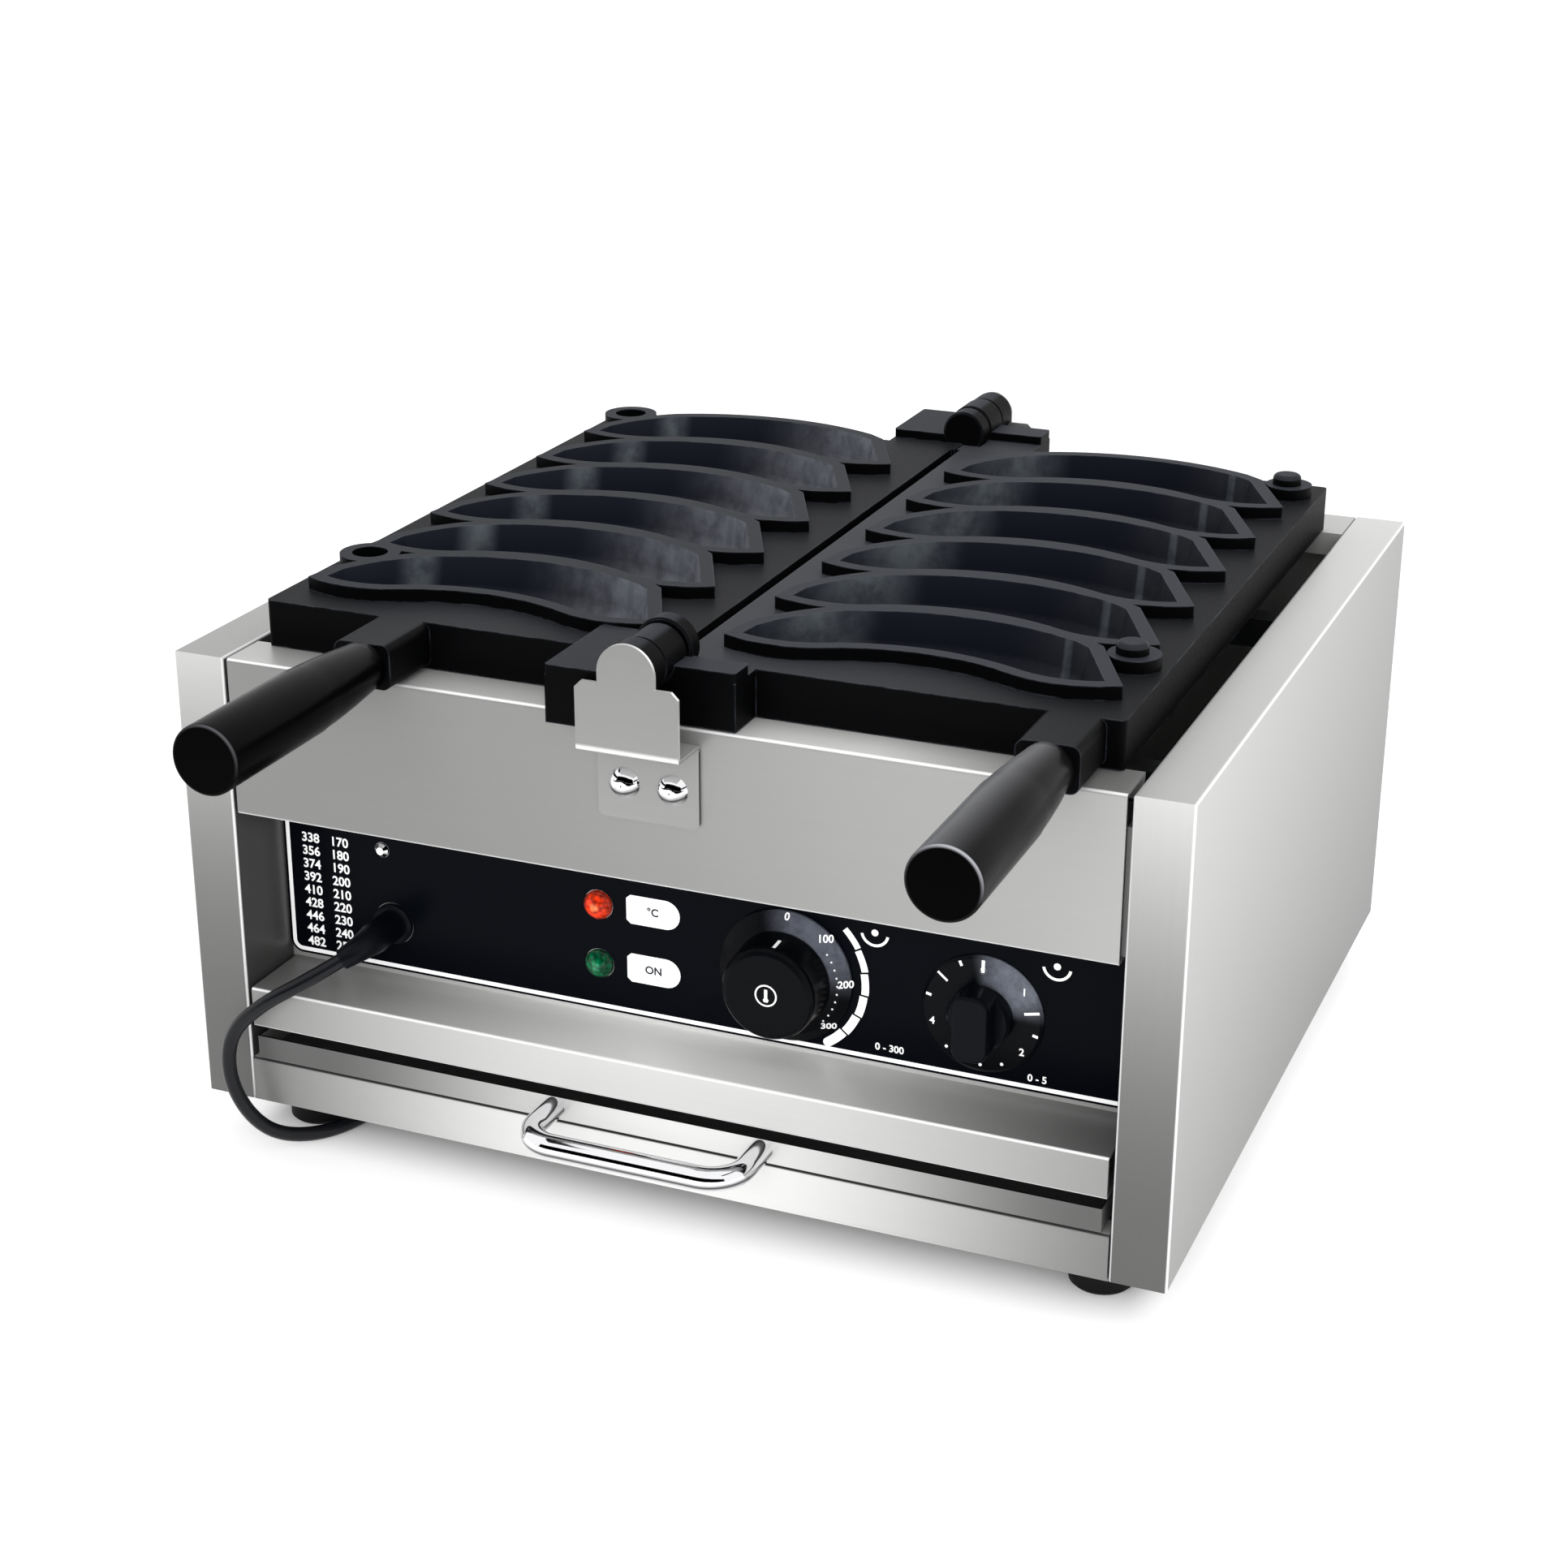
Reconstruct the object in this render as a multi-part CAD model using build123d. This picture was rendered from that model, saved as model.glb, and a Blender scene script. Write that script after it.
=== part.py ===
from build123d import *
import os
from math import ceil, cos, pi, radians, sin, sqrt, tan

os.makedirs("parts", exist_ok=True)

# Frame: millimetres, +X right, +Y to the back, +Z up, origin at the middle of the footprint on the table

# Casing of folded stainless sheet
body_width = 450.0
body_depth = 400.0
body_height = 211.4
foot_height = 22.0
foot_radius = 14.0
foot_inset_x = 36.6
foot_inset_y = 35.4
foot_hollow = 4.0
foot_bevel = 1.5
foot_taper = 6.0
nut_radius = 4.2
nut_height = 3.4
screw_tail = 6.0
sheet = 1.2
fold_radius = 1.5
column_width = 24.6
end_gap = 2.2
front_flange = 25.0
rear_flange = 33.0
flange_hem = 10.0
fascia_height = 0.3382 * body_height
recess_depth = 38.0
ledge_drop = 0.7356 * body_height
ledge_strip = 19.0
tray_drop = 0.8467 * body_height
tray_lip = 10.7
tray_gap = 0.5
tray_side_gap = 3.9
tray_wall = 1.0
tray_back_gap = 26.0
weld_tab = 12.0
fascia_tab_set = 7.0
fascia_tab_drop = 16.0
rail_end_gap = 0.5
runner_gap = 0.3
runner_shelf = 15.0
vent_length = 44.0
vent_width = 5.0
vent_pitch = 14.0
vent_count = 11

# Cast mould plates
plate_outer = 190.5
plate_front = 21.3
plate_back_gap = 26.4
plate_rest_gap = 0.3
plate_thickness = 20.5
plate_corner = 2.5
seam = 5.0
rim_height = 5.8
rim_width = 6.2
rim_gap = 0.3
mould_count = 6
mould_pitch = 53.6
mould_first = 23.1
mould_inset_right = 19.2
mould_inset_left = 16.0
mould_length = 152.8
mould_drawn_length = 152.8
mould_depth = 17.3
mould_draft = 12.0
mould_floor_radius = 6.5
core_margin = 22.0
core_rib = 9.0
core_depth = 4.2
core_corner = 5.0

# Locating pins of the right plate and their holes in the left plate
locator_x = 175.0
locator_front = 61.7
locator_back = 21.6
locator_radius = 6.75
locator_rise = 5.0
locator_nose = 2.2
locator_boss_shift = 1.0
locator_boss = 11.0
socket_radius = 8.0
socket_boss = 13.5
socket_depth = 9.0

# Hinge through both plates, front and rear
pin_radius = 4.0
pin_clearance = 0.08
knuckle_gap = 1.4
knuckle_chamfer = 0.8
knuckle_wall = 2.5
lug_half = 37.5
lug_rise = 4.4
lug_base_gap = 0.2
lug_root = 4.0
lug_corner = 1.5
seam_clearance = 0.6
sweep_clearance = 0.7
knuckle_outer_radius = 12.0
knuckle_middle_radius = 11.2
knuckle_inner_radius = 12.7
rear_knuckle_radius = 10.8
bracket_sheet = 1.5
bracket_half = 22.5
bracket_shoulder = 22.0
bracket_drop = 43.0
bracket_jog = 6.3
bracket_tab = 12.5
bracket_corner = 3.0
front_standoff = 19.15
rear_standoff = 28.5
front_outer_length = 12.0
front_middle_length = 21.0
front_inner_length = 10.0
rear_outer_length = 17.0
rear_middle_length = 19.5
rear_inner_length = 12.0
left_lug_front = -17.0
left_lug_back = 36.0
right_lug_front = 1.0
right_lug_back = 14.8
rear_left_front = -19.0
rear_left_back = 26.0
rear_right_front = -6.0
rear_right_back = 10.0
bolt_spacing = 21.4
bolt_drop = 27.4
bolt_head = 6.9
bolt_dome = 3.4
bolt_shank = 2.5

# Handles
handle_reach = 128.0
handle_right_x = 170.0
handle_left_x = -124.0
handle_root = 10.7
handle_waist = 12.4
handle_end = 14.0
handle_round = 1.4
handle_waist_run = 44.0
handle_swell = 13.0
handle_boss_reach = 12.0
handle_boss_width = 26.0
handle_boss_corner = 4.0
handle_boss_fall = 1.0
handle_end_wall = 8.0
stud_radius = 4.0
stud_fit = 0.05

# Controls
knob_x = 44.5
knob_drop = 0.5676 * body_height
knob_grip = 21.0
knob_skirt = 30.0
knob_face = 15.0
knob_gap = 1.0
timer_x = 132.0
timer_drop = 0.5747 * body_height
timer_hub = 13.8
timer_bar_width = 15.5
timer_bar_length = 29.5
timer_bar_lift = 0.5
timer_bar_rise = 16.0
timer_dial_radius = 26.4
timer_dial_rise = 1.8
shaft_radius = 3.0
shaft_fit = 0.06
shaft_hole = 5.0
shaft_end_wall = 4.0
switch_neck = 8.0
lamp_x = -43.3
lamp_drops = (0.4882 * body_height, 0.6202 * body_height)
lamp_radius = 6.6
lamp_facets = 10
relief_x = 79.4 - body_width / 2
relief_drop = 0.6164 * body_height
relief_flange = 9.6
boot_root = 7.0
boot_straight = 18.0
boot_bend = 18.0
boot_turn = 60.0
boot_lean = 56.0
boot_wall = 1.3
panel_screw_x = 75.2 - body_width / 2
panel_screw_drop = 0.4513 * body_height
overlay_thickness = 0.4
overlay_margin = 2.2
overlay_corner = 7.0
film_clearance = 0.3
lamp_stem = 4.5
relief_neck = 7.0
switch_back = 14.0
thermostat_half_width = 17.0
thermostat_half_height = 22.0
thermostat_depth = 24.0
thermostat_tab_pitch = 9.0
thermostat_tab_length = 9.0
thermostat_tab_half_width = 2.0
thermostat_tab_drop = 12.0
thermostat_tab_sheet = 0.8
timer_width = 46.0
timer_depth = 30.0
screw_shank = 2.0
screw_head = 3.4

# Heating
element_radius = 4.0
element_drop = 22.0
shield_drop = 0.2933 * body_height
shield_depth = 112.0
shield_low_gap = 4.0
element_pitch = 46.0
element_bend = 20.0
element_inset = 32.0
element_near = 30.0
element_far = 34.0
element_rest_gap = 0.1
bar_near_depth = 90.0
bar_far_depth = 300.0
bar_width = 14.0
bulb_shift = 10.0
bulb_radius = 3.0
bulb_length = 60.0
bulb_lead = 4.0
capillary_radius = 1.2

# Crumb tray handle
pull_radius = 5.2
pull_span = 97.0
pull_reach = 36.0
pull_corner = 15.0

# Mains lead, its coil put away behind the casing, and its plug
cord_radius = 3.3
cord_rest = 0.2
coil_outer = 44.4
coil_gap = 0.5
coil_x = 80.6 - body_width / 2
coil_behind = 55.0
coil_turns = 2
tail_bend = 34.0
tail_end = 12.0
plug_taper = 24.0
plug_length = 36.0
plug_width = 30.0
plug_height = 20.8
blade_spacing = 12.7
blade_length = 15.9

# Planes and positions that follow from the sizes above
half_width = body_width / 2
inner_half = half_width - column_width
rear_reach = rear_standoff + bracket_sheet
front = handle_reach - (handle_reach + body_depth + rear_reach) / 2
rear = front + body_depth
coil_y = rear + coil_behind
body_bottom = foot_height
body_top = foot_height + body_height
fascia_half = inner_half - end_gap
fascia_bottom = body_top - fascia_height
panel_face = front + recess_depth
ledge_top = body_top - ledge_drop
strip_bottom = ledge_top - ledge_strip
tray_top = body_top - tray_drop
tray_floor = tray_top - tray_lip
tray_half = inner_half - tray_side_gap
plate_low = body_top + plate_rest_gap
plate_top = plate_low + plate_thickness
rim_top = plate_top + rim_height
axis_z = rim_top + rim_gap / 2
plate_y0 = front + plate_front
plate_y1 = rear - plate_back_gap
lug_low = plate_low + lug_base_gap
lug_top = plate_top + lug_rise
handle_z = (plate_low + plate_top) / 2


def knuckle_spans(start, towards, lengths):
    """Runs along Y of neighbouring knuckles from a bracket inwards, with a gap at each face."""
    spans = []
    y = start
    for length in lengths:
        ends = (y + towards * knuckle_gap / 2, y + towards * (length - knuckle_gap / 2))
        spans.append((min(ends), max(ends)))
        y += towards * length
    return spans


front_outer, front_middle, front_inner = knuckle_spans(
    front - front_standoff, 1, (front_outer_length, front_middle_length, front_inner_length))
rear_outer, rear_middle, rear_inner = knuckle_spans(
    rear + rear_standoff, -1, (rear_outer_length, rear_middle_length, rear_inner_length))


def slab(x, y, z):
    """A block between its limits along each axis."""
    centre = Pos((x[0] + x[1]) / 2, (y[0] + y[1]) / 2, (z[0] + z[1]) / 2)
    return centre * Box(abs(x[1] - x[0]), abs(y[1] - y[0]), abs(z[1] - z[0]))


def rod_y(x, z, y0, y1, radius):
    """A round bar along Y."""
    return Pos(x, (y0 + y1) / 2, z) * Rot(90, 0, 0) * Cylinder(radius, abs(y1 - y0))


def rod_z(x, y, z0, z1, radius):
    """An upright round bar."""
    return Pos(x, y, (z0 + z1) / 2) * Cylinder(radius, abs(z1 - z0))


def turned_y(x, z, y0, profile):
    """A turned piece along Y: profile holds (distance towards the front from y0, radius)."""
    points = [(0, profile[0][0])] + [(radius, run) for run, radius in profile] + [(0, profile[-1][0])]
    shape = make_face(Polyline(*points, close=True))
    turned = revolve(Plane.XZ * shape, Axis.Z)
    return Pos(x, y0, z) * Rot(90, 0, 0) * turned


def rounded_bar(width, height, corner, y0, y1, x, z):
    """A bar along Y with a rounded rectangular section."""
    section = RectangleRounded(width, height, corner)
    return Pos(x, y1, z) * Rot(90, 0, 0) * extrude(section, y1 - y0)


def mirrored(shape):
    """The same piece on the other side of the machine."""
    return mirror(shape, about=Plane.YZ)


# Casing

def side_panel():
    """Right side: outer wall, front column, top flange and rear flange folded from one sheet."""
    block = slab((inner_half, half_width), (front, rear), (body_bottom, body_top))
    inner = block.edges().group_by(Axis.X)[0]
    bends = [inner.filter_by(Axis.Z).sort_by(Axis.Y)[0], inner.filter_by(Axis.Y).sort_by(Axis.Z)[-1]]
    block = fillet([*block.edges().group_by(Axis.X)[-1], *bends], fold_radius)
    hollow = slab((inner_half - 1, half_width - sheet), (front + sheet, rear - sheet),
                  (body_bottom + sheet, body_top - sheet))
    reveal = slab((inner_half, inner_half + sheet), (front + sheet, panel_face + sheet + weld_tab),
                  (body_bottom + sheet, body_top - sheet))
    hem = slab((inner_half, inner_half + sheet), (panel_face + sheet + weld_tab, rear - sheet),
               (body_top - sheet - flange_hem, body_top - sheet))
    return block - hollow + reveal + hem


def fascia():
    """Upper front: face, top flange with its hem, and the ceiling of the control recess."""
    block = slab((-fascia_half, fascia_half), (front, front + front_flange), (fascia_bottom, body_top))
    face_edges = block.edges().filter_by(Axis.X).group_by(Axis.Y)[0]
    block = fillet(face_edges, fold_radius)
    hollow = slab((-fascia_half, fascia_half), (front + sheet, front + front_flange - sheet),
                  (fascia_bottom + sheet, body_top - sheet))
    back_cut = slab((-fascia_half, fascia_half), (front + front_flange - sheet, front + front_flange),
                    (fascia_bottom + sheet, body_top - sheet - flange_hem))
    ceiling = slab((-fascia_half, fascia_half), (front + front_flange, panel_face),
                   (fascia_bottom, fascia_bottom + sheet))
    shape = block - hollow - back_cut + ceiling
    for x in (-1, 1):
        end = sorted((x * (fascia_half - sheet), x * inner_half))
        shape += slab(end, (front + fascia_tab_set, front + fascia_tab_set + weld_tab),
                      (fascia_bottom + sheet, body_top - fascia_tab_drop))
    for x in (-bolt_spacing / 2, bolt_spacing / 2):
        shape -= rod_y(x, body_top - bolt_drop, front, front + sheet, bolt_shank)
    return shape


def control_panel():
    """Recessed panel, the ledge under it and the strip above the tray, folded from one sheet."""
    width = (-fascia_half, fascia_half)
    wall = slab(width, (panel_face, panel_face + sheet), (ledge_top - sheet, fascia_bottom + weld_tab))
    ledge = slab(width, (front, panel_face + sheet), (strip_bottom, ledge_top))
    ledge = fillet(ledge.edges().filter_by(Axis.X).group_by(Axis.Y)[0], fold_radius)
    under = slab(width, (front + sheet, panel_face + sheet), (strip_bottom + sheet, ledge_top - sheet))
    lip_cut = slab(width, (front + 2 * weld_tab, panel_face + sheet), (strip_bottom, strip_bottom + sheet))
    shape = wall + ledge - under - lip_cut
    for x in (-1, 1):
        end = sorted((x * (fascia_half - sheet), x * inner_half))
        shape += slab(end, (panel_face + sheet, panel_face + sheet + weld_tab),
                      (ledge_top - sheet, fascia_bottom))
    holes = [(knob_x, knob_drop, shaft_hole), (timer_x, timer_drop, shaft_hole),
             (relief_x, relief_drop, relief_neck), (panel_screw_x, panel_screw_drop, screw_shank)]
    holes += [(lamp_x, drop, lamp_stem) for drop in lamp_drops]
    for x, drop, radius in holes:
        shape -= rod_y(x, body_top - drop, panel_face, panel_face + sheet, radius)
    return shape


def control_overlay():
    """Thin black printed film on the recessed panel, with holes where the controls come through."""
    low = ledge_top + overlay_margin
    film = slab((-fascia_half + overlay_margin, fascia_half), (panel_face - overlay_thickness, panel_face),
                (low, fascia_bottom))
    corner = film.edges().filter_by(Axis.Y).group_by(Axis.Z)[0].sort_by(Axis.X)[0]
    film = fillet(corner, overlay_corner)
    for x, drop, radius in ((knob_x, knob_drop, shaft_hole), (timer_x, timer_drop, shaft_hole),
                            (relief_x, relief_drop, relief_flange), (lamp_x, lamp_drops[0], lamp_radius),
                            (lamp_x, lamp_drops[1], lamp_radius),
                            (panel_screw_x, panel_screw_drop, screw_head)):
        film -= rod_y(x, body_top - drop, panel_face - overlay_thickness, panel_face, radius + film_clearance)
    return film


def base_pan():
    """Floor sheet with vent slots; its front edge is folded up as the rail under the tray."""
    half = inner_half
    floor = slab((-half, half), (front, rear - sheet), (body_bottom, body_bottom + sheet))
    rail_top = tray_floor - tray_gap
    rail = slab((-half + rail_end_gap, half - rail_end_gap), (front, front + weld_tab),
                (body_bottom, rail_top))
    rail = fillet(rail.edges().filter_by(Axis.X).group_by(Axis.Y)[0], fold_radius)
    rail -= slab((-half, half), (front + sheet, front + weld_tab),
                 (body_bottom + sheet, rail_top - sheet))
    back = slab((-half, half), (rear - 2 * sheet, rear - sheet), (body_bottom + sheet, rail_top))
    shape = floor + rail + back
    vent = extrude(SlotOverall(vent_length, vent_width, 90), sheet)
    vent = Pos(0, front + 0.6 * body_depth, body_bottom) * vent
    for i in range(vent_count):
        shape -= Pos((i - (vent_count - 1) / 2) * vent_pitch, 0, 0) * vent
    for x, y in foot_places():
        shape -= rod_z(x, y, body_bottom, body_bottom + sheet, screw_shank)
    return shape


def rear_panel():
    """Back sheet with its top flange and two rows of vent slots."""
    half = inner_half
    block = slab((-half, half), (rear - rear_flange, rear), (body_bottom, body_top))
    block = fillet(block.edges().filter_by(Axis.X).group_by(Axis.Y)[-1].group_by(Axis.Z)[-1], fold_radius)
    hollow = slab((-half, half), (rear - rear_flange, rear - sheet), (body_bottom, body_top - sheet))
    hem = slab((-half, half), (rear - rear_flange, rear - rear_flange + sheet),
               (body_top - sheet - flange_hem, body_top - sheet))
    shape = block - hollow + hem
    slot = Rot(90, 0, 0) * extrude(SlotOverall(vent_length, vent_width, 90), sheet)
    for row in (-1, 1):
        for i in range(vent_count):
            x = (i - (vent_count - 1) / 2) * vent_pitch
            z = (body_bottom + body_top) / 2 + row * (vent_length / 2 + vent_width) - body_height / 8
            shape -= Pos(x, rear, z) * slot
    for x in (-bolt_spacing / 2, bolt_spacing / 2):
        shape -= rod_y(x, body_top - bolt_drop, rear - sheet, rear, bolt_shank)
    return shape


def foot_places():
    """Centres of the four feet."""
    x = half_width - foot_inset_x
    return [(sx * x, y) for sx in (-1, 1) for y in (front + foot_inset_y, rear - foot_inset_y)]


def foot():
    """Rubber foot: a tapered puck, hollow underneath for its screw."""
    hollow = screw_head + 1
    profile = make_face(Polyline((0, foot_hollow), (hollow, foot_hollow), (hollow, 0),
                                 (foot_radius - foot_bevel, 0), (foot_radius, foot_bevel),
                                 (foot_radius, foot_height - foot_taper),
                                 (foot_radius - 2, foot_height), (0, foot_height), close=True))
    return revolve(Plane.XZ * profile, Axis.Z) - rod_z(0, 0, 0, foot_height, screw_shank)


def foot_screw():
    """Screw up through a foot into the floor sheet, with its nut."""
    head = rod_z(0, 0, foot_hollow - 2.6, foot_hollow, screw_head)
    shank = rod_z(0, 0, foot_hollow, foot_height + sheet + screw_tail, screw_shank)
    nut = Pos(0, 0, foot_height + sheet) * extrude(RegularPolygon(nut_radius, 6), nut_height)
    return head + shank + nut


# Crumb tray

def crumb_tray():
    """Shallow tray that slides out; its front lip is the strip with the handle."""
    y1 = rear - tray_back_gap
    block = slab((-tray_half, tray_half), (front, y1), (tray_floor, tray_top))
    hollow = slab((-tray_half + tray_wall, tray_half - tray_wall), (front + tray_wall, y1 - tray_wall),
                  (tray_floor + tray_wall, tray_top))
    shape = block - hollow
    for x in (-pull_span / 2, pull_span / 2):
        shape -= rod_y(x, (tray_floor + tray_top) / 2, front, front + tray_wall, screw_shank)
    return shape


def tray_pull():
    """Chromed handle bent from round bar, screwed on from inside the tray."""
    z = (tray_floor + tray_top) / 2
    half = pull_span / 2
    out = front - pull_reach + pull_radius
    path = FilletPolyline((-half, front, z), (-half, out, z), (half, out, z), (half, front, z),
                          radius=pull_corner)
    section = Plane(origin=(-half, front, z), z_dir=(0, -1, 0)) * Circle(pull_radius)
    return sweep(section, path=path)


def pull_screw():
    """Screw through the tray lip into the handle, with its head inside the tray."""
    z = (tray_floor + tray_top) / 2
    y = front + tray_wall
    return rod_y(0, z, front, y, screw_shank) + rod_y(0, z, y, y + 2.2, screw_head)


def tray_runner():
    """Angle that carries the right edge of the tray on the floor sheet."""
    x1 = inner_half - sheet
    y = (panel_face + sheet + 2, rear - 2 * sheet)
    upright = slab((x1 - sheet, x1), y, (body_bottom + sheet, tray_top - 1))
    shelf = slab((x1 - runner_shelf, x1), y, (tray_floor - runner_gap - sheet, tray_floor - runner_gap))
    return upright + shelf


# Heating

def heat_shield():
    """Folded sheet that keeps the heat of the elements away from the controls."""
    half = half_width - sheet
    top = body_top - shield_drop
    back = front + shield_depth
    shape = slab((-inner_half, inner_half), (panel_face + sheet, back), (top - sheet, top))
    shape += slab((-half, half), (back - sheet, back), (tray_top + shield_low_gap, top))
    for x in (-1, 1):
        flange = sorted((x * half, x * (half - sheet)))
        shape += slab(flange, (back, back + weld_tab), (tray_top + shield_low_gap, top))
    return shape - rod_z(knob_x + bulb_shift, bulb_y(), top - sheet, top, 2 * capillary_radius)


def heating_element():
    """Right tubular element: four runs under the mould plate, both ends at the back."""
    z = body_top - element_drop
    y_near = plate_y0 + element_near
    y_far = plate_y1 - element_far
    y_end = rear - sheet
    x = [element_inset + i * element_pitch for i in range(4)]
    path = FilletPolyline((x[0], y_end, z), (x[0], y_near, z), (x[1], y_near, z), (x[1], y_far, z),
                          (x[2], y_far, z), (x[2], y_near, z), (x[3], y_near, z), (x[3], y_end, z),
                          radius=element_bend)
    section = Plane(origin=(x[0], y_end, z), z_dir=(0, -1, 0)) * Circle(element_radius)
    return sweep(section, path=path)


def element_bar_top():
    """Height at which the elements rest."""
    return body_top - element_drop - element_radius - element_rest_gap


def element_bar(y):
    """Angle across the casing that the elements lie on."""
    half = half_width - sheet
    top = element_bar_top()
    flat = slab((-half, half), (y, y + bar_width), (top - sheet, top))
    web = slab((-half, half), (y, y + sheet), (top - bar_width, top))
    return flat + web


# Mould plates

def mould_outline():
    """Mouth of one banana mould: narrow tip at the origin, broad end at mould_length, arched to +Y."""
    s = mould_length / mould_drawn_length
    front_lobe = ThreePointArc((0, 0.6), (18 * s, -2.3), (36 * s, 2.2))
    hollow = ThreePointArc((36 * s, 2.2), (76 * s, 11.2), (117 * s, 2.0))
    end_lobe = ThreePointArc((117 * s, 2.0), (134 * s, -2.2), (mould_length, 1.6))
    end_facet = Line((mould_length, 1.6), (135.6 * s, 37.6))
    shoulder = Line((135.6 * s, 37.6), (128.5 * s, 43))
    back = ThreePointArc((128.5 * s, 43), (77 * s, 54.8), (25.7 * s, 42))
    tip_side = ThreePointArc((25.7 * s, 42), (12.5 * s, 29.6), (1.5, 12))
    tip = Line((1.5, 12), (0, 0.6))
    return make_face([front_lobe, hollow, end_lobe, end_facet, shoulder, back, tip_side, tip])


def mould_cavity():
    """Drafted hollow of one mould with a rounded floor, hanging below Z = 0."""
    mouth = mould_outline()
    cavity = extrude(mouth, amount=mould_depth, dir=(0, 0, -1), taper=mould_draft)
    floor_edges = cavity.edges().group_by(Axis.Z)[0]
    return fillet(floor_edges, mould_floor_radius)


def mould_rim():
    """Raised rim around one mould mouth."""
    return offset(mould_outline(), amount=rim_width, kind=Kind.INTERSECTION)


def mould_places(x0):
    """Origins of the moulds in one plate."""
    return [(x0, plate_y0 + mould_first + i * mould_pitch) for i in range(mould_count)]


def moulded_plate(x0, x1, first_x, bosses):
    """Flat plate with rims, cavities and cored underside; bosses holds (x, y, radius)."""
    plate = slab((x0, x1), (plate_y0, plate_y1), (plate_low, plate_top))
    plate = fillet(plate.edges().filter_by(Axis.Z), plate_corner)
    rims = Sketch()
    for x, y in mould_places(first_x):
        rims += Pos(x, y) * mould_rim()
    for x, y, radius in bosses:
        rims += Pos(x, y) * Circle(radius)
    limit = Pos((x0 + x1) / 2, (plate_y0 + plate_y1) / 2) * Rectangle(x1 - x0, plate_y1 - plate_y0)
    plate += extrude(Pos(0, 0, plate_top) * (rims & limit), rim_height)
    cavity = mould_cavity()
    for x, y in mould_places(first_x):
        plate -= Pos(x, y, rim_top) * cavity
    width = (x1 - x0 - 2 * core_margin - core_rib) / 2
    length = (plate_y1 - plate_y0 - 2 * core_margin - 2 * core_rib) / 3
    core = extrude(RectangleRounded(width, length, core_corner), core_depth)
    for i in (-0.5, 0.5):
        for j in (-1, 0, 1):
            plate -= Pos((x0 + x1) / 2 + i * (width + core_rib),
                         (plate_y0 + plate_y1) / 2 + j * (length + core_rib), plate_low) * core
    return plate


def handle_boss(x):
    """Boss on the front face of a plate that takes the handle stud."""
    height = plate_thickness - handle_boss_fall
    z = plate_top - height / 2
    boss = rounded_bar(handle_boss_width, height, handle_boss_corner, front - handle_boss_reach,
                       plate_y0 + lug_root, x, z)
    return boss - rod_y(x, handle_z, front - handle_boss_reach, plate_y0, stud_radius + stud_fit)


def lug(x, y, raised):
    """Hinge lug beside a plate: y is its whole run, raised the run that stands above the plate."""
    low = slab(x, y, (lug_low, plate_top))
    high = slab(x, raised, (lug_low, lug_top))
    return low + fillet(high.edges().filter_by(Axis.Z), lug_corner)


def knuckle(y0, y1, radius):
    """A plain length of round bar on the hinge axis."""
    return rod_y(0, axis_z, y0, y1, radius)


def barrel(span, radius):
    """One knuckle of the hinge with chamfered ends."""
    shape = knuckle(span[0], span[1], radius)
    return chamfer(shape.edges().filter_by(GeomType.CIRCLE), knuckle_chamfer)


def left_plate():
    """Left mould plate with sockets for the locating pins and the outer and inner hinge knuckles."""
    x1 = -seam / 2
    bosses = [(-locator_x, y, socket_boss) for y in locator_places()]
    plate = moulded_plate(-plate_outer, x1, -plate_outer + mould_inset_left, bosses)
    for y in locator_places():
        plate -= rod_z(-locator_x, y, rim_top - socket_depth, rim_top, socket_radius)
    plate += handle_boss(handle_left_x)
    x = (-lug_half, -seam_clearance)
    front_lug = lug(x, (front + left_lug_front, plate_y0 + lug_root),
                    (front + left_lug_front, front + left_lug_back))
    rear_lug = lug(x, (plate_y1 - lug_root, rear + rear_left_back),
                   (rear + rear_left_front, rear + rear_left_back))
    keep_off = knuckle_middle_radius + sweep_clearance
    plate += front_lug + rear_lug
    plate -= knuckle(front_middle[0] - knuckle_gap, front_middle[1] + knuckle_gap, keep_off)
    plate -= knuckle(rear_middle[0] - knuckle_gap, rear_middle[1] + knuckle_gap, keep_off)
    plate += barrel(front_outer, knuckle_outer_radius)
    plate += barrel(front_inner, knuckle_inner_radius)
    plate += barrel(rear_inner, rear_knuckle_radius)
    plate += barrel(rear_outer, rear_knuckle_radius)
    bore = pin_radius + pin_clearance
    plate -= knuckle(front_outer[0], front_inner[1] - knuckle_wall, bore)
    return plate - knuckle(rear_inner[0] + knuckle_wall, rear_outer[1], bore)


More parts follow.
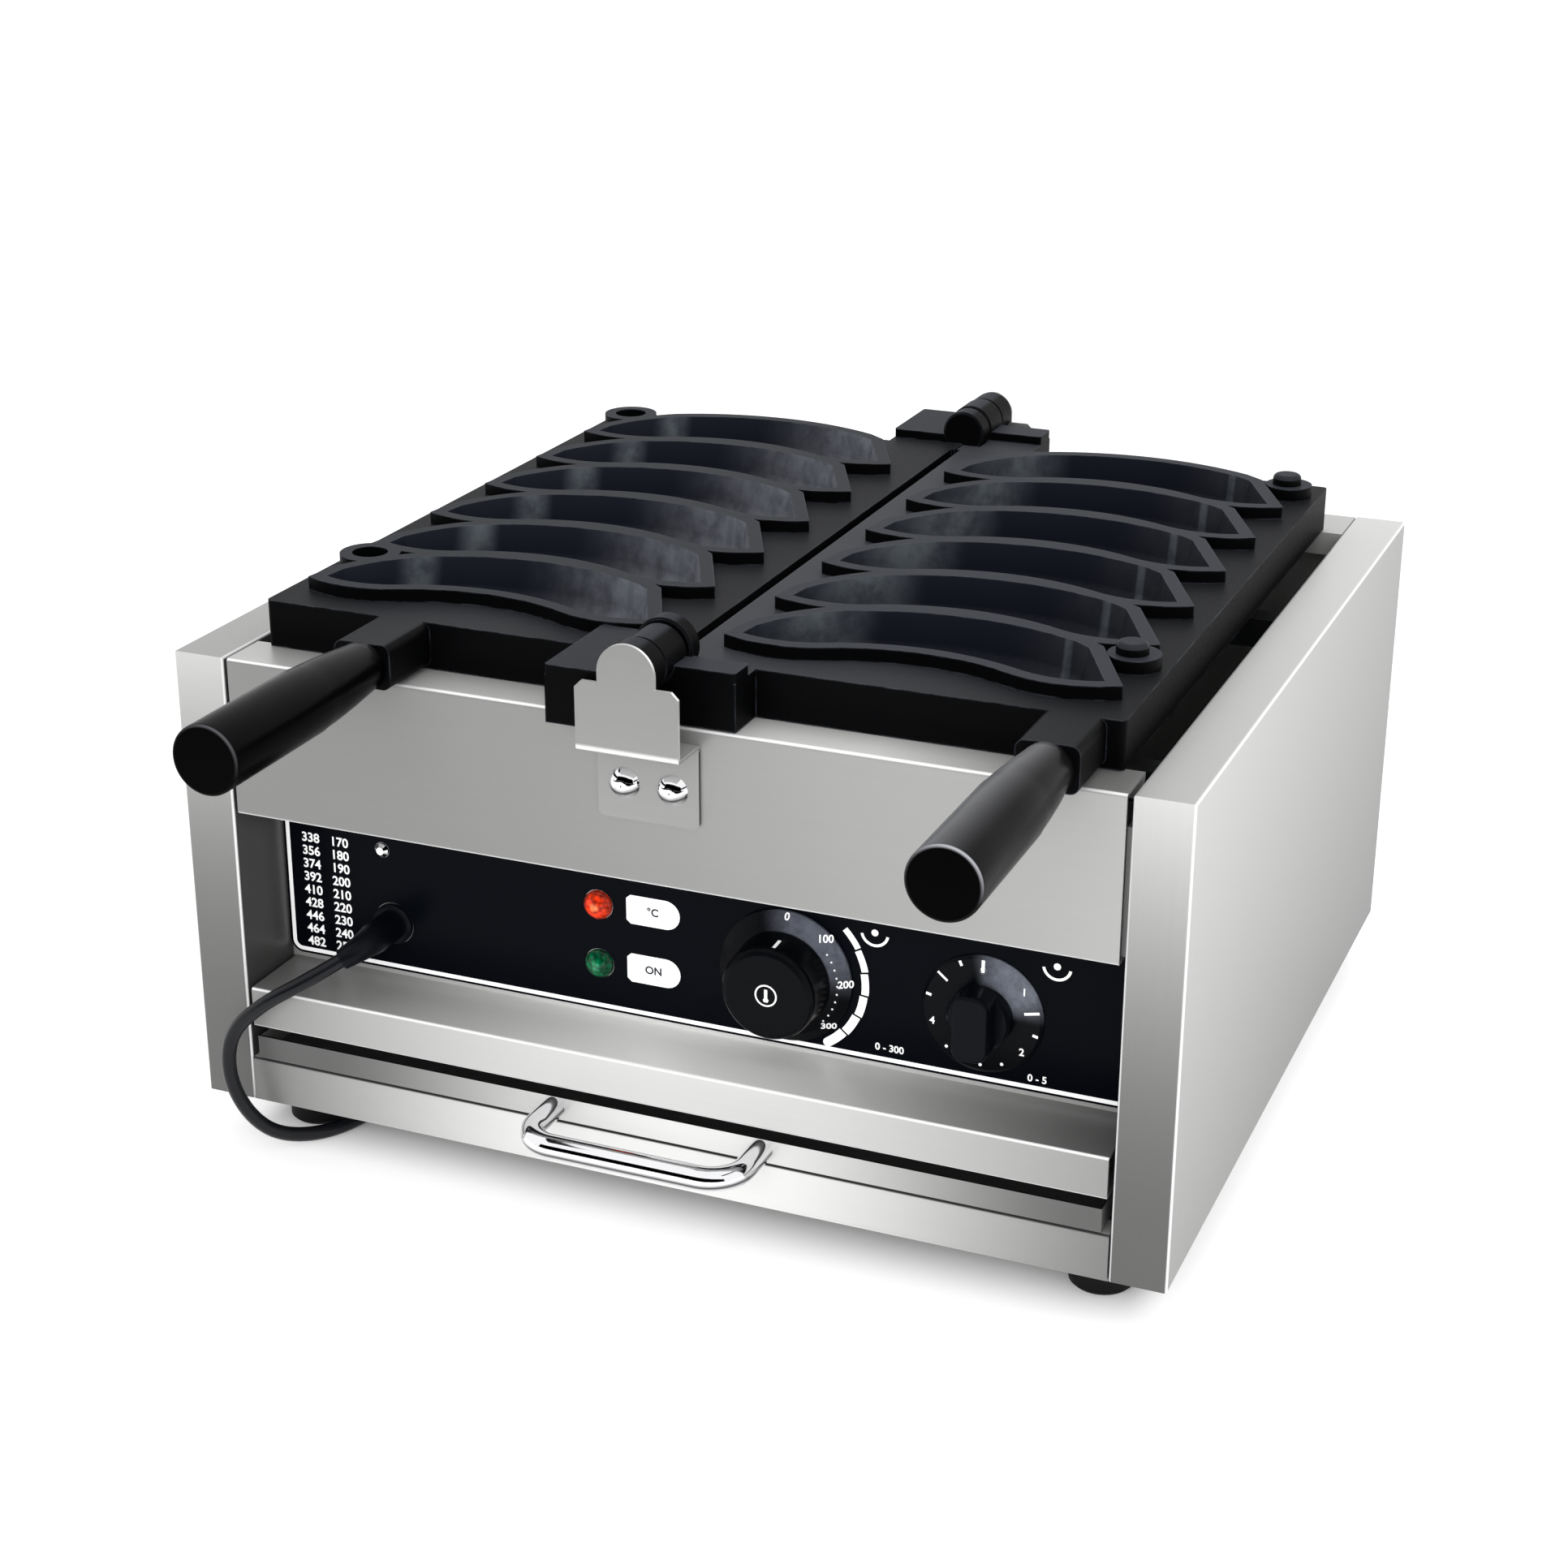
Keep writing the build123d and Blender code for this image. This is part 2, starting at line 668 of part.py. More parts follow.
def right_plate():
    """Right mould plate with the middle hinge knuckles and the bosses of the locating pins."""
    x0 = seam / 2
    bosses = [(locator_x + locator_boss_shift, y, locator_boss) for y in locator_places()]
    plate = moulded_plate(x0, plate_outer, mould_inset_right + x0, bosses)
    for y in locator_places():
        plate -= rod_z(locator_x, y, rim_top - socket_depth, rim_top, locator_radius + stud_fit)
    plate += handle_boss(handle_right_x)
    x = (seam_clearance, lug_half)
    plate += lug(x, (front + right_lug_front, plate_y0 + lug_root),
                 (front + right_lug_front, front + right_lug_back))
    plate += lug(x, (plate_y1 - lug_root, rear + rear_right_back),
                 (rear + rear_right_front, rear + rear_right_back))
    keep_off = knuckle_inner_radius + sweep_clearance
    plate -= knuckle(front_inner[0] - knuckle_gap, front_inner[1] + knuckle_gap, keep_off)
    keep_off = rear_knuckle_radius + sweep_clearance
    plate -= knuckle(rear_inner[0] - knuckle_gap, rear_inner[1] + knuckle_gap, keep_off)
    plate += barrel(front_middle, knuckle_middle_radius)
    plate += barrel(rear_middle, knuckle_middle_radius)
    bore = pin_radius + pin_clearance
    plate -= knuckle(front_middle[0], front_middle[1], bore)
    return plate - knuckle(rear_middle[0], rear_middle[1], bore)


def locator_places():
    """Y of the two locating pins."""
    return (plate_y0 + locator_front, plate_y1 - locator_back)


def locating_pin(y):
    """Steel pin pressed into the right plate, with a rounded nose."""
    pin = rod_z(locator_x, y, rim_top - socket_depth, rim_top + locator_rise, locator_radius)
    return fillet(pin.edges().group_by(Axis.Z)[-1], locator_nose)


def handle(x):
    """Tapered black grip, turned, with a soft shoulder near its root."""
    y0 = front - handle_boss_reach
    run = handle_reach - handle_boss_reach
    bore = stud_radius + stud_fit
    swell_start = (handle_root + 0.3, handle_waist_run - handle_swell)
    swell_end = (handle_waist + 0.2, handle_waist_run + handle_swell)
    middle = ((swell_start[0] + swell_end[0]) / 2, handle_waist_run)
    edge = Polyline((bore, 0), (handle_root, 0), swell_start)
    swell = Spline(swell_start, middle, swell_end, tangents=((0, 1), (0.02, 1)))
    grip = Polyline(swell_end, (handle_end, run - handle_round),
                    (handle_end - handle_round, run), (0, run), (0, run - handle_end_wall),
                    (bore, run - handle_end_wall), (bore, 0))
    shape = make_face([*edge.edges(), *swell.edges(), *grip.edges()])
    turned = revolve(Plane.XZ * shape, Axis.Z)
    return Pos(x, y0, handle_z) * Rot(90, 0, 0) * turned


def handle_stud(x):
    """Steel stud from inside the plate boss to the far end of the grip."""
    return rod_y(x, handle_z, front - handle_reach + handle_end_wall + 2, plate_y0 - 1, stud_radius)


# Hinge brackets

def hinge_bracket(standoff, tab_radius):
    """Z-folded bracket: lower tab on the casing, upper plate in front of the knuckles.

    It is built against a face at Y = 0 and reaches towards -Y.
    """
    lower = Pos(0, 0, body_top - (bracket_jog + bracket_drop) / 2) * Box(
        2 * bracket_half, bracket_sheet, bracket_drop - bracket_jog)
    lower = fillet(lower.edges().filter_by(Axis.Y).group_by(Axis.Z)[0], bracket_corner)
    lower = Pos(0, -bracket_sheet / 2, 0) * lower
    shelf = slab((-bracket_half, bracket_half), (-standoff - bracket_sheet, 0),
                 (body_top - bracket_jog - bracket_sheet, body_top - bracket_jog))
    plate = slab((-bracket_half, bracket_half), (-standoff - bracket_sheet, -standoff),
                 (body_top - bracket_jog - bracket_sheet, body_top + bracket_shoulder))
    plate = chamfer(plate.edges().filter_by(Axis.Y).group_by(Axis.Z)[-1], bracket_corner)
    tab = slab((-tab_radius, tab_radius), (-standoff - bracket_sheet, -standoff), (body_top, axis_z))
    nose = rod_y(0, axis_z, -standoff - bracket_sheet, -standoff, tab_radius)
    shape = lower + shelf + plate + tab + nose
    along = shape.edges().filter_by(Axis.X)
    front_bend = along.group_by(Axis.Y)[0].sort_by(Axis.Z)[0]
    rear_bend = along.group_by(Axis.Y)[-1].sort_by(Axis.Z)[-1]
    shape = fillet([front_bend, rear_bend], 0.9 * bracket_sheet)
    for x in (-bolt_spacing / 2, bolt_spacing / 2):
        shape -= rod_y(x, body_top - bolt_drop, -bracket_sheet, 0, bolt_shank)
    return shape


def bracket_bolt():
    """Domed bolt through bracket and sheet at Y = 0, with a nut inside."""
    y_out = -bracket_sheet
    crown = ThreePointArc((0, bolt_dome), (0.72 * bolt_head, 0.68 * bolt_dome), (bolt_head, 0))
    section = make_face([*Polyline((bolt_head, 0), (0, 0), (0, bolt_dome)).edges(), crown.edge()])
    dome = Pos(0, y_out, 0) * Rot(90, 0, 0) * revolve(Plane.XZ * section, Axis.Z)
    shank = rod_y(0, 0, y_out, sheet + screw_tail, bolt_shank)
    nut = Pos(0, sheet + nut_height, 0) * Rot(90, 0, 0) * extrude(RegularPolygon(nut_radius, 6), nut_height)
    return Pos(0, 0, body_top - bolt_drop) * (dome + shank + nut)


# Controls

def temperature_knob():
    """Round grip on a wide dial skirt."""
    rise = recess_depth - knob_face
    profile = [(knob_gap, knob_skirt), (knob_gap + 1.2, knob_skirt), (4.6, knob_grip + 5),
               (5.4, knob_grip + 0.8), (rise - 3, knob_grip), (rise - 1.6, knob_grip - 0.4),
               (rise - 0.5, knob_grip - 1.4), (rise, knob_grip - 3)]
    knob = turned_y(knob_x, body_top - knob_drop, panel_face, profile)
    bore = rod_y(knob_x, body_top - knob_drop, panel_face - knob_gap, panel_face - rise + shaft_end_wall,
                 shaft_radius + stud_fit)
    return knob - bore


def control_shaft(x, drop, rise):
    """Spindle from the switch behind the panel into its knob."""
    return rod_y(x, body_top - drop, panel_face - rise + shaft_end_wall, panel_face + switch_back - 1,
                 shaft_radius)


def thermostat():
    """Capillary thermostat body screwed behind the panel."""
    z = body_top - knob_drop
    y0 = panel_face + switch_back
    y1 = y0 + thermostat_depth
    body = slab((knob_x - thermostat_half_width, knob_x + thermostat_half_width), (y0, y1),
                (z - thermostat_half_height, z + thermostat_half_height))
    neck = rod_y(knob_x, z, panel_face + sheet, y0, switch_neck)
    shape = body + neck - rod_y(knob_x, z, panel_face + sheet, y0, shaft_radius + shaft_fit)
    tab_z = z - thermostat_tab_drop
    for x in (knob_x - thermostat_tab_pitch, knob_x, knob_x + thermostat_tab_pitch):
        shape += slab((x - thermostat_tab_half_width, x + thermostat_tab_half_width),
                      (y1, y1 + thermostat_tab_length), (tab_z, tab_z + thermostat_tab_sheet))
    return shape


def bulb_y():
    """Where the capillary leaves the top of the thermostat."""
    return panel_face + switch_back + thermostat_depth / 2


def thermostat_bulb():
    """Capillary that rises through the shield and ends in a bulb lying on the near element bar."""
    x = knob_x + bulb_shift
    z = element_bar_top() + bulb_radius + element_rest_gap
    low = body_top - knob_drop + thermostat_half_height
    y_bulb = front + bar_near_depth - bulb_lead
    path = FilletPolyline((x, bulb_y(), low), (x, bulb_y(), z), (x, y_bulb, z), radius=8)
    tube = sweep(Plane(origin=(x, bulb_y(), low), z_dir=(0, 0, 1)) * Circle(capillary_radius), path=path)
    return tube + rod_y(x, z, y_bulb, y_bulb + bulb_length, bulb_radius)


def timer_dial():
    """Raised disc around the timer knob that carries the ticks."""
    disc = turned_y(timer_x, body_top - timer_drop, panel_face - overlay_thickness,
                    [(0, timer_dial_radius), (0.8, timer_dial_radius),
                     (timer_dial_rise, timer_dial_radius - 1.4)])
    return disc - rod_y(timer_x, body_top - timer_drop, panel_face - 3, panel_face, shaft_hole)


def timer_knob_back():
    """Plane of the back of the timer knob."""
    return panel_face - overlay_thickness - timer_dial_rise - knob_gap


def timer_knob():
    """Small knob with a bar grip across its round base."""
    z = body_top - timer_drop
    y0 = timer_knob_back()
    base = turned_y(timer_x, z, y0, [(0, timer_hub), (4, timer_hub), (5.5, timer_hub - 1.2)])
    bar = rounded_bar(timer_bar_width, timer_bar_length, 5.2, y0 - timer_bar_rise, y0 - 3,
                      timer_x, z + timer_bar_lift)
    bar = fillet(bar.edges().group_by(Axis.Y)[0], 1.6)
    bore = rod_y(timer_x, z, y0 - 12, y0, shaft_radius + stud_fit)
    return base + bar - bore


def timer_shaft():
    """Spindle of the timer."""
    y0 = timer_knob_back()
    return rod_y(timer_x, body_top - timer_drop, y0 - 12, panel_face + switch_back - 1, shaft_radius)


def timer():
    """Clockwork timer behind the panel."""
    z = body_top - timer_drop
    y0 = panel_face + switch_back
    body = rounded_bar(timer_width, timer_width, 6, y0, y0 + timer_depth, timer_x, z)
    neck = rod_y(timer_x, z, panel_face + sheet, y0, switch_neck)
    bell = rod_y(timer_x, z, y0 + timer_depth, y0 + timer_depth + 7, 16)
    return body + neck + bell - rod_y(timer_x, z, panel_face + sheet, y0, shaft_radius + shaft_fit)


def lamp(drop):
    """Pilot lamp: faceted lens on a round bezel, and a stem through the panel."""
    z = body_top - drop
    bezel = turned_y(lamp_x, z, panel_face, [(0, lamp_radius), (1.4, lamp_radius), (1.8, lamp_radius - 0.4)])
    seat = Plane(origin=(lamp_x, panel_face - 1.6, z), z_dir=(0, -1, 0))
    wide = seat * RegularPolygon(lamp_radius - 0.4, lamp_facets)
    crown = seat.offset(1.9) * Rot(0, 0, 180 / lamp_facets) * RegularPolygon(0.72 * lamp_radius, lamp_facets)
    table = seat.offset(3.2) * RegularPolygon(0.3 * lamp_radius, lamp_facets)
    jewel = loft([wide, crown], ruled=True) + loft([crown, table], ruled=True)
    stem = rod_y(lamp_x, z, panel_face, panel_face + 16, lamp_stem)
    return bezel + jewel + stem


def lamp_nut(drop):
    """Nut behind the panel on a lamp stem."""
    z = body_top - drop
    nut = Rot(90, 0, 0) * extrude(RegularPolygon(lamp_stem + 3, 6), nut_height)
    nut = Pos(lamp_x, panel_face + sheet + nut_height, z) * nut
    return nut - rod_y(lamp_x, z, panel_face, panel_face + 5, lamp_stem)


def panel_screw():
    """Dome-head screw at the left of the panel."""
    z = body_top - panel_screw_drop
    head = turned_y(panel_screw_x, z, panel_face,
                    [(0, screw_head), (1.2, screw_head), (2.3, screw_head - 1.6)])
    return head + rod_y(panel_screw_x, z, panel_face, panel_face + 8, screw_shank)


def boot_axis(turn):
    """Point and direction of the boot's bent axis after a turn in degrees."""
    angle = radians(turn)
    ahead = Vector(0, -1, 0)
    lean = Vector(-sin(radians(boot_lean)), 0, -cos(radians(boot_lean)))
    start = Vector(relief_x, panel_face - boot_straight, body_top - relief_drop)
    point = start + ahead * (boot_bend * sin(angle)) + lean * (boot_bend * (1 - cos(angle)))
    return point, ahead * cos(angle) + lean * sin(angle)


def strain_relief():
    """Moulded bushing on the panel whose tapered boot bends down with the lead."""
    z = body_top - relief_drop
    bush = turned_y(relief_x, z, panel_face, [(0, relief_flange), (2.2, relief_flange),
                                              (3.4, relief_flange - 1.2), (3.4, boot_root),
                                              (boot_straight, boot_root)])
    sections = []
    for i in range(4):
        point, direction = boot_axis(boot_turn * i / 3)
        radius = boot_root + (cord_radius + boot_wall - boot_root) * i / 3
        sections.append(Plane(origin=point, z_dir=direction) * Circle(radius))
    boot = loft(sections)
    return bush + boot + rod_y(relief_x, z, panel_face, panel_face + 14, relief_neck)


def relief_nut():
    """Nut that holds the bushing behind the panel."""
    z = body_top - relief_drop
    nut = Rot(90, 0, 0) * extrude(RegularPolygon(relief_neck + 4, 6), 5)
    nut = Pos(relief_x, panel_face + sheet + 5, z) * nut
    return nut - rod_y(relief_x, z, panel_face, panel_face + 7, relief_neck)


def terminal_block():
    """Ceramic terminal block for the mains lead, on the heat shield wall."""
    y1 = front + shield_depth - sheet
    z = ledge_top + 20
    block = slab((-110, -62), (y1 - 18, y1), (z, z + 20))
    for i in range(3):
        block -= rod_y(-98 + 12 * i, z + 10, y1 - 18, y1 - 9, 3)
    return block


# Mains lead

def cord_route():
    """Corners of the lead from the bushing to the coil, chosen by hand.

    Each is the distance right of the left wall, behind the front face and above the table.
    """
    floor = cord_radius + cord_rest
    exit_point, exit_way = boot_axis(boot_turn)
    points = [
        (31, -10.5, 79.5),
        (16.5, -12, 62),
        (14, -14.5, 39.5),
        (22, -10.5, 18.5),
        (37.5, -0.5, 5.5),
        (54.5, 14.5, floor),
        (63, 44, floor),
        (70, 86, floor),
        (78, 140, floor),
        (96, 212, floor),
        (120, 284, floor),
        (129, 345, floor),
    ]
    laid = [Vector(x - half_width, front + y, z) for x, y, z in points]
    beside = [Vector(coil_x + coil_outer, y, floor) for y in (rear, coil_y - 2 * cord_radius)]
    return [exit_point, exit_point + exit_way * 20, *laid, *beside]


def bend_radii(points):
    """One radius for each corner of the lead: 0.45 of the shorter run, over the tangent of half the turn."""
    radii = []
    for a, b, c in zip(points, points[1:], points[2:]):
        turn = radians((b - a).get_angle(c - b))
        radii.append(0.45 * min((b - a).length, (c - b).length) / tan(turn / 2))
    return radii


def power_cord():
    """Free stretch of the lead."""
    points = cord_route()
    radii = bend_radii(points)
    path = FilletPolyline(*points, radius=radii)
    tube = sweep(Plane(origin=points[0], z_dir=points[1] - points[0]) * Circle(cord_radius), path=path)
    print("lead: length", round(path.length, 1), "radii", [round(r) for r in radii])
    full = pi * cord_radius ** 2 * path.length
    print("lead: volume over section times length", round(tube.volume / full, 4))
    return tube


def coil_path():
    """Coil wound inwards on the table, up one layer in half a turn, and outwards again."""
    pitch = 2 * cord_radius + coil_gap
    low = cord_radius + cord_rest
    high = low + pitch
    start = Vector(coil_x + coil_outer, coil_y - 2 * cord_radius, low)
    points = [Vector(coil_x + coil_outer, coil_y, low)]
    for i in range(1, 4 * coil_turns + 1):
        inwards = i if i <= 2 * coil_turns + 1 else 4 * coil_turns + 1 - i
        reach = coil_outer - inwards * pitch / 2
        side = 1 if i % 2 == 0 else -1
        points.append(Vector(coil_x + side * reach, coil_y, low if i <= 2 * coil_turns else high))
    edges = [Line(start, points[0]).edge()]
    for i, (a, b) in enumerate(zip(points, points[1:])):
        if i == 2 * coil_turns:
            reach = sqrt(((a.X - b.X) / 2) ** 2 + (pitch / 2) ** 2)
            middle = Vector((a.X + b.X) / 2, coil_y + reach, (low + high) / 2)
            edges.append(TangentArc(a, middle, tangent=edges[-1] % 1).edge())
            edges.append(TangentArc(middle, b, tangent=edges[-1] % 1).edge())
        else:
            edges.append(TangentArc(a, b, tangent=edges[-1] % 1).edge())
    last = points[-1]
    turned = Vector(last.X + tail_bend, last.Y + tail_bend, high)
    edges.append(TangentArc(last, turned, tangent=edges[-1] % 1).edge())
    edges.append(Line(turned, Vector(turned.X + tail_end, turned.Y, high)).edge())
    return edges


def cord_coil():
    """Coil of the put-away length, one unbroken tube."""
    edges = coil_path()
    path = Wire(edges)
    tube = sweep(Plane(origin=edges[0] @ 0, z_dir=edges[0] % 0) * Circle(cord_radius), path=path)
    length = sum(edge.length for edge in edges)
    count = ceil(length / 3)
    samples = [path @ (i / count) for i in range(count + 1)]
    apart = ceil(6 * cord_radius / 3)
    gaps = [(a - b).length for i, a in enumerate(samples) for b in samples[i + apart:]]
    print("coil: length", round(length, 1), "least gap to itself", round(min(gaps) - 2 * cord_radius, 2))
    print("coil: volume over section times length", round(tube.volume / (pi * cord_radius ** 2 * length), 4))
    return tube


def mains_plug():
    """Moulded plug beside the coil, with two flat blades and an earth pin."""
    end = coil_path()[-1] @ 1
    sleeve = Plane(origin=end, x_dir=(0, 1, 0), z_dir=(1, 0, 0))
    taper = loft([sleeve * Circle(cord_radius + 0.8),
                  sleeve.offset(plug_taper) * Circle(plug_height / 2 - 3)])
    body = extrude(sleeve.offset(plug_taper) * RectangleRounded(plug_width, plug_height, 7), plug_length)
    body = fillet(body.edges().group_by(Axis.X)[0], 3)
    face = Pos(end.X + plug_taper + plug_length, end.Y, end.Z)
    blade = Box(blade_length, 1.5, 6.3)
    shape = taper + body
    for side in (-1, 1):
        shape += face * Pos(blade_length / 2, side * blade_spacing / 2, 3) * blade
    earth = face * Pos(blade_length / 2, 0, -5.5) * Rot(0, 90, 0) * Cylinder(2.4, blade_length + 3)
    return shape + earth


# Assembly

def save(name, *shapes):
    """Write one sub-part; like pieces in it stay separate solids."""
    solids = [solid for shape in shapes for solid in shape.solids()]
    export_step(solids[0] if len(solids) == 1 else Compound(children=solids), f"parts/{name}.step")


right_side = side_panel()
save("right_side_panel", right_side)
save("left_side_panel", mirrored(right_side))
save("front_fascia", fascia())
save("control_panel", control_panel())
save("control_overlay", control_overlay())
save("base_pan", base_pan())
save("rear_panel", rear_panel())
save("heat_shield", heat_shield())
save("feet", *[Pos(x, y, 0) * foot() for x, y in foot_places()])
save("foot_screws", *[Pos(x, y, 0) * foot_screw() for x, y in foot_places()])

save("crumb_tray", crumb_tray())
save("tray_handle", tray_pull())
save("tray_handle_screws", *[Pos(x, 0, 0) * pull_screw() for x in (-pull_span / 2, pull_span / 2)])
save("tray_runners", tray_runner(), mirrored(tray_runner()))

element = heating_element()
save("right_heating_element", element)
save("left_heating_element", mirrored(element))
save("element_bars", element_bar(front + bar_near_depth), element_bar(front + bar_far_depth))

save("left_mould_plate", left_plate())
save("right_mould_plate", right_plate())
save("locating_pins", *[locating_pin(y) for y in locator_places()])
save("left_handle", handle(handle_left_x))
save("right_handle", handle(handle_right_x))
save("left_handle_stud", handle_stud(handle_left_x))
save("right_handle_stud", handle_stud(handle_right_x))

save("front_hinge_bracket", Pos(0, front, 0) * hinge_bracket(front_standoff, bracket_tab))
save("rear_hinge_bracket",
     Pos(0, rear, 0) * Rot(0, 0, 180) * hinge_bracket(rear_standoff, rear_knuckle_radius - 0.3))
pin_end = knuckle_wall + 0.5
save("front_hinge_pin", knuckle(front - front_standoff, front_inner[1] - pin_end, pin_radius))
save("rear_hinge_pin", knuckle(rear_inner[0] + pin_end, rear + rear_standoff, pin_radius))
bolt_x = (-bolt_spacing / 2, bolt_spacing / 2)
save("bracket_bolts", *[Pos(x, front, 0) * bracket_bolt() for x in bolt_x],
     *[Pos(x, rear, 0) * Rot(0, 0, 180) * bracket_bolt() for x in bolt_x])

save("temperature_knob", temperature_knob())
save("temperature_shaft", control_shaft(knob_x, knob_drop, recess_depth - knob_face))
save("thermostat", thermostat())
save("thermostat_bulb", thermostat_bulb())
save("timer_dial", timer_dial())
save("timer_knob", timer_knob())
save("timer_shaft", timer_shaft())
save("timer", timer())
save("red_lamp", lamp(lamp_drops[0]))
save("green_lamp", lamp(lamp_drops[1]))
save("lamp_nuts", *[lamp_nut(drop) for drop in lamp_drops])
save("panel_screw", panel_screw())
save("strain_relief", strain_relief())
save("strain_relief_nut", relief_nut())
save("terminal_block", terminal_block())

save("power_cord", power_cord())
save("cord_coil", cord_coil())
save("mains_plug", mains_plug())
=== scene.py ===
import bpy
from math import cos, pi, radians, sin
from mathutils import Matrix, Vector


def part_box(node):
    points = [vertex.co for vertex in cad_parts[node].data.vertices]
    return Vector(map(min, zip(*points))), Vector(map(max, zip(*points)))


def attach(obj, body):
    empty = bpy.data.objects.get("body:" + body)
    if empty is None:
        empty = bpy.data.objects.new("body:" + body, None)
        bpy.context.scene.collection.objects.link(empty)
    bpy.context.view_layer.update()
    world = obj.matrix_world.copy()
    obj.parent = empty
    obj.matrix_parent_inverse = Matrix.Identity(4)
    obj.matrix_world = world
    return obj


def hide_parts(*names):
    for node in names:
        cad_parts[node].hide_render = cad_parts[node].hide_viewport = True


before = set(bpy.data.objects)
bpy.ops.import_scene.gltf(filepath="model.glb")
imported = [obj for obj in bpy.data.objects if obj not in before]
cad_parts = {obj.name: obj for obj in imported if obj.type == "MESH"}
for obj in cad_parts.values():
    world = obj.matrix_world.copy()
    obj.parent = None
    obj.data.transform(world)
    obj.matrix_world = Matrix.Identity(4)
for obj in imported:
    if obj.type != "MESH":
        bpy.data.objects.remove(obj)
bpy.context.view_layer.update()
MM = 0.001

# Camera
# The photograph's own standpoint: above and to the right of the front, looking down
# on the open plates, with an ordinary lens and no shift.
eye = Vector((0.45155, -1.09899, 0.62754))
ahead = Vector((-0.3553, 0.8574, -0.3723)).normalized()
across = Vector((0.9235, 0.3836, 0.0022))
across = (across - ahead * across.dot(ahead)).normalized()
up = across.cross(ahead)
camera = bpy.data.cameras.new("camera")
camera.lens = 64.25
camera.sensor_width = 36.0
camera_object = bpy.data.objects.new("camera", camera)
camera_object.matrix_world = Matrix((
    (across.x, up.x, -ahead.x, eye.x),
    (across.y, up.y, -ahead.y, eye.y),
    (across.z, up.z, -ahead.z, eye.z),
    (0, 0, 0, 1)))
bpy.context.collection.objects.link(camera_object)
bpy.context.scene.camera = camera_object
bpy.context.scene.view_settings.view_transform = "Standard"


# Studio floor, room and lamps
# A seamless white sweep: rays that show the background see plain white, the floor keeps
# the soft shadow and a painted shadow under the object's front, and large soft boxes stand
# above, in front and to the right.
def fill(tree, node, **sockets):
    """Sets a node's sockets by name, or by number as i0; a socket of another node is linked."""
    for name, value in sockets.items():
        key = int(name[1:]) if name[1:].isdigit() and name[0] == "i" else name.replace("_", " ")
        if isinstance(value, bpy.types.NodeSocket):
            tree.links.new(value, node.inputs[key])
        else:
            node.inputs[key].default_value = value


def add_node(tree, kind, settings=None, **sockets):
    """A new shader node with its settings and sockets."""
    made = tree.nodes.new("ShaderNode" + kind)
    for name, value in (settings or {}).items():
        setattr(made, name, value)
    fill(tree, made, **sockets)
    return made


def maths(tree, operation, a, b=0.0, c=0.0):
    """The result of one arithmetic step."""
    return add_node(tree, "Math", {"operation": operation}, i0=a, i1=b, i2=c).outputs[0]


def times(tree, *factors):
    """The product of several factors."""
    level = factors[0]
    for factor in factors[1:]:
        level = maths(tree, "MULTIPLY", level, factor)
    return level


def smooth_range(tree, value, start, end, kind="SMOOTHSTEP"):
    """0 at start, 1 at end."""
    return add_node(tree, "MapRange", {"interpolation_type": kind}, Value=value, From_Min=start,
                    From_Max=end, To_Min=0.0, To_Max=1.0).outputs[0]


def between(tree, share, low, high):
    """Low where the share is 0, high where it is 1."""
    return add_node(tree, "MapRange", Value=share, From_Min=0.0, From_Max=1.0, To_Min=low,
                    To_Max=high).outputs[0]


def object_place(tree):
    """The point on the piece, in metres of the frame."""
    return add_node(tree, "TexCoord").outputs["Object"]


def background_rays(tree):
    """1 on rays that show the background: those of the camera, of gloss and of glass."""
    path = add_node(tree, "LightPath")
    first = maths(tree, "MAXIMUM", path.outputs["Is Camera Ray"], path.outputs["Is Glossy Ray"])
    return maths(tree, "MAXIMUM", first, path.outputs["Is Transmission Ray"])


room_level = 0.8
world = bpy.data.worlds.new("room")
bpy.context.scene.world = world
world.use_nodes = True
world_tree = world.node_tree
world_tree.nodes.clear()
soft_room = add_node(world_tree, "Background", Color=(1, 1, 1, 1), Strength=room_level)
white_room = add_node(world_tree, "Background", Color=(1, 1, 1, 1), Strength=1.0)
seen_room = add_node(world_tree, "MixShader", Fac=background_rays(world_tree),
                     i1=soft_room.outputs[0], i2=white_room.outputs[0])
add_node(world_tree, "OutputWorld", Surface=seen_room.outputs[0])


def mesh_piece(name, points, faces, material):
    """A piece of one material from its points in metres and its faces."""
    mesh = bpy.data.meshes.new(name)
    mesh.from_pydata(points, [], faces)
    mesh.materials.append(material)
    piece = bpy.data.objects.new(name, mesh)
    bpy.context.collection.objects.link(piece)
    return piece


def flat_card(name, corners):
    """A flat stage card from its four corners, and the empty node tree of its material."""
    material = bpy.data.materials.new(name)
    material.use_nodes = True
    material.node_tree.nodes.clear()
    card = mesh_piece(name, corners, [(0, 1, 2, 3)], material)
    return card, material.node_tree


floor_half = 6.0
floor_paper = 0.75
floor_glow = 0.5
# Painted contact shadow: how much the floor still glows under the object's front, and where.
shadow_glow = 0.1 * floor_glow
shadow_front = (-0.153, -0.112)
shadow_side = (0.218, 0.200)
shadow_back = (0.05, 0.0)


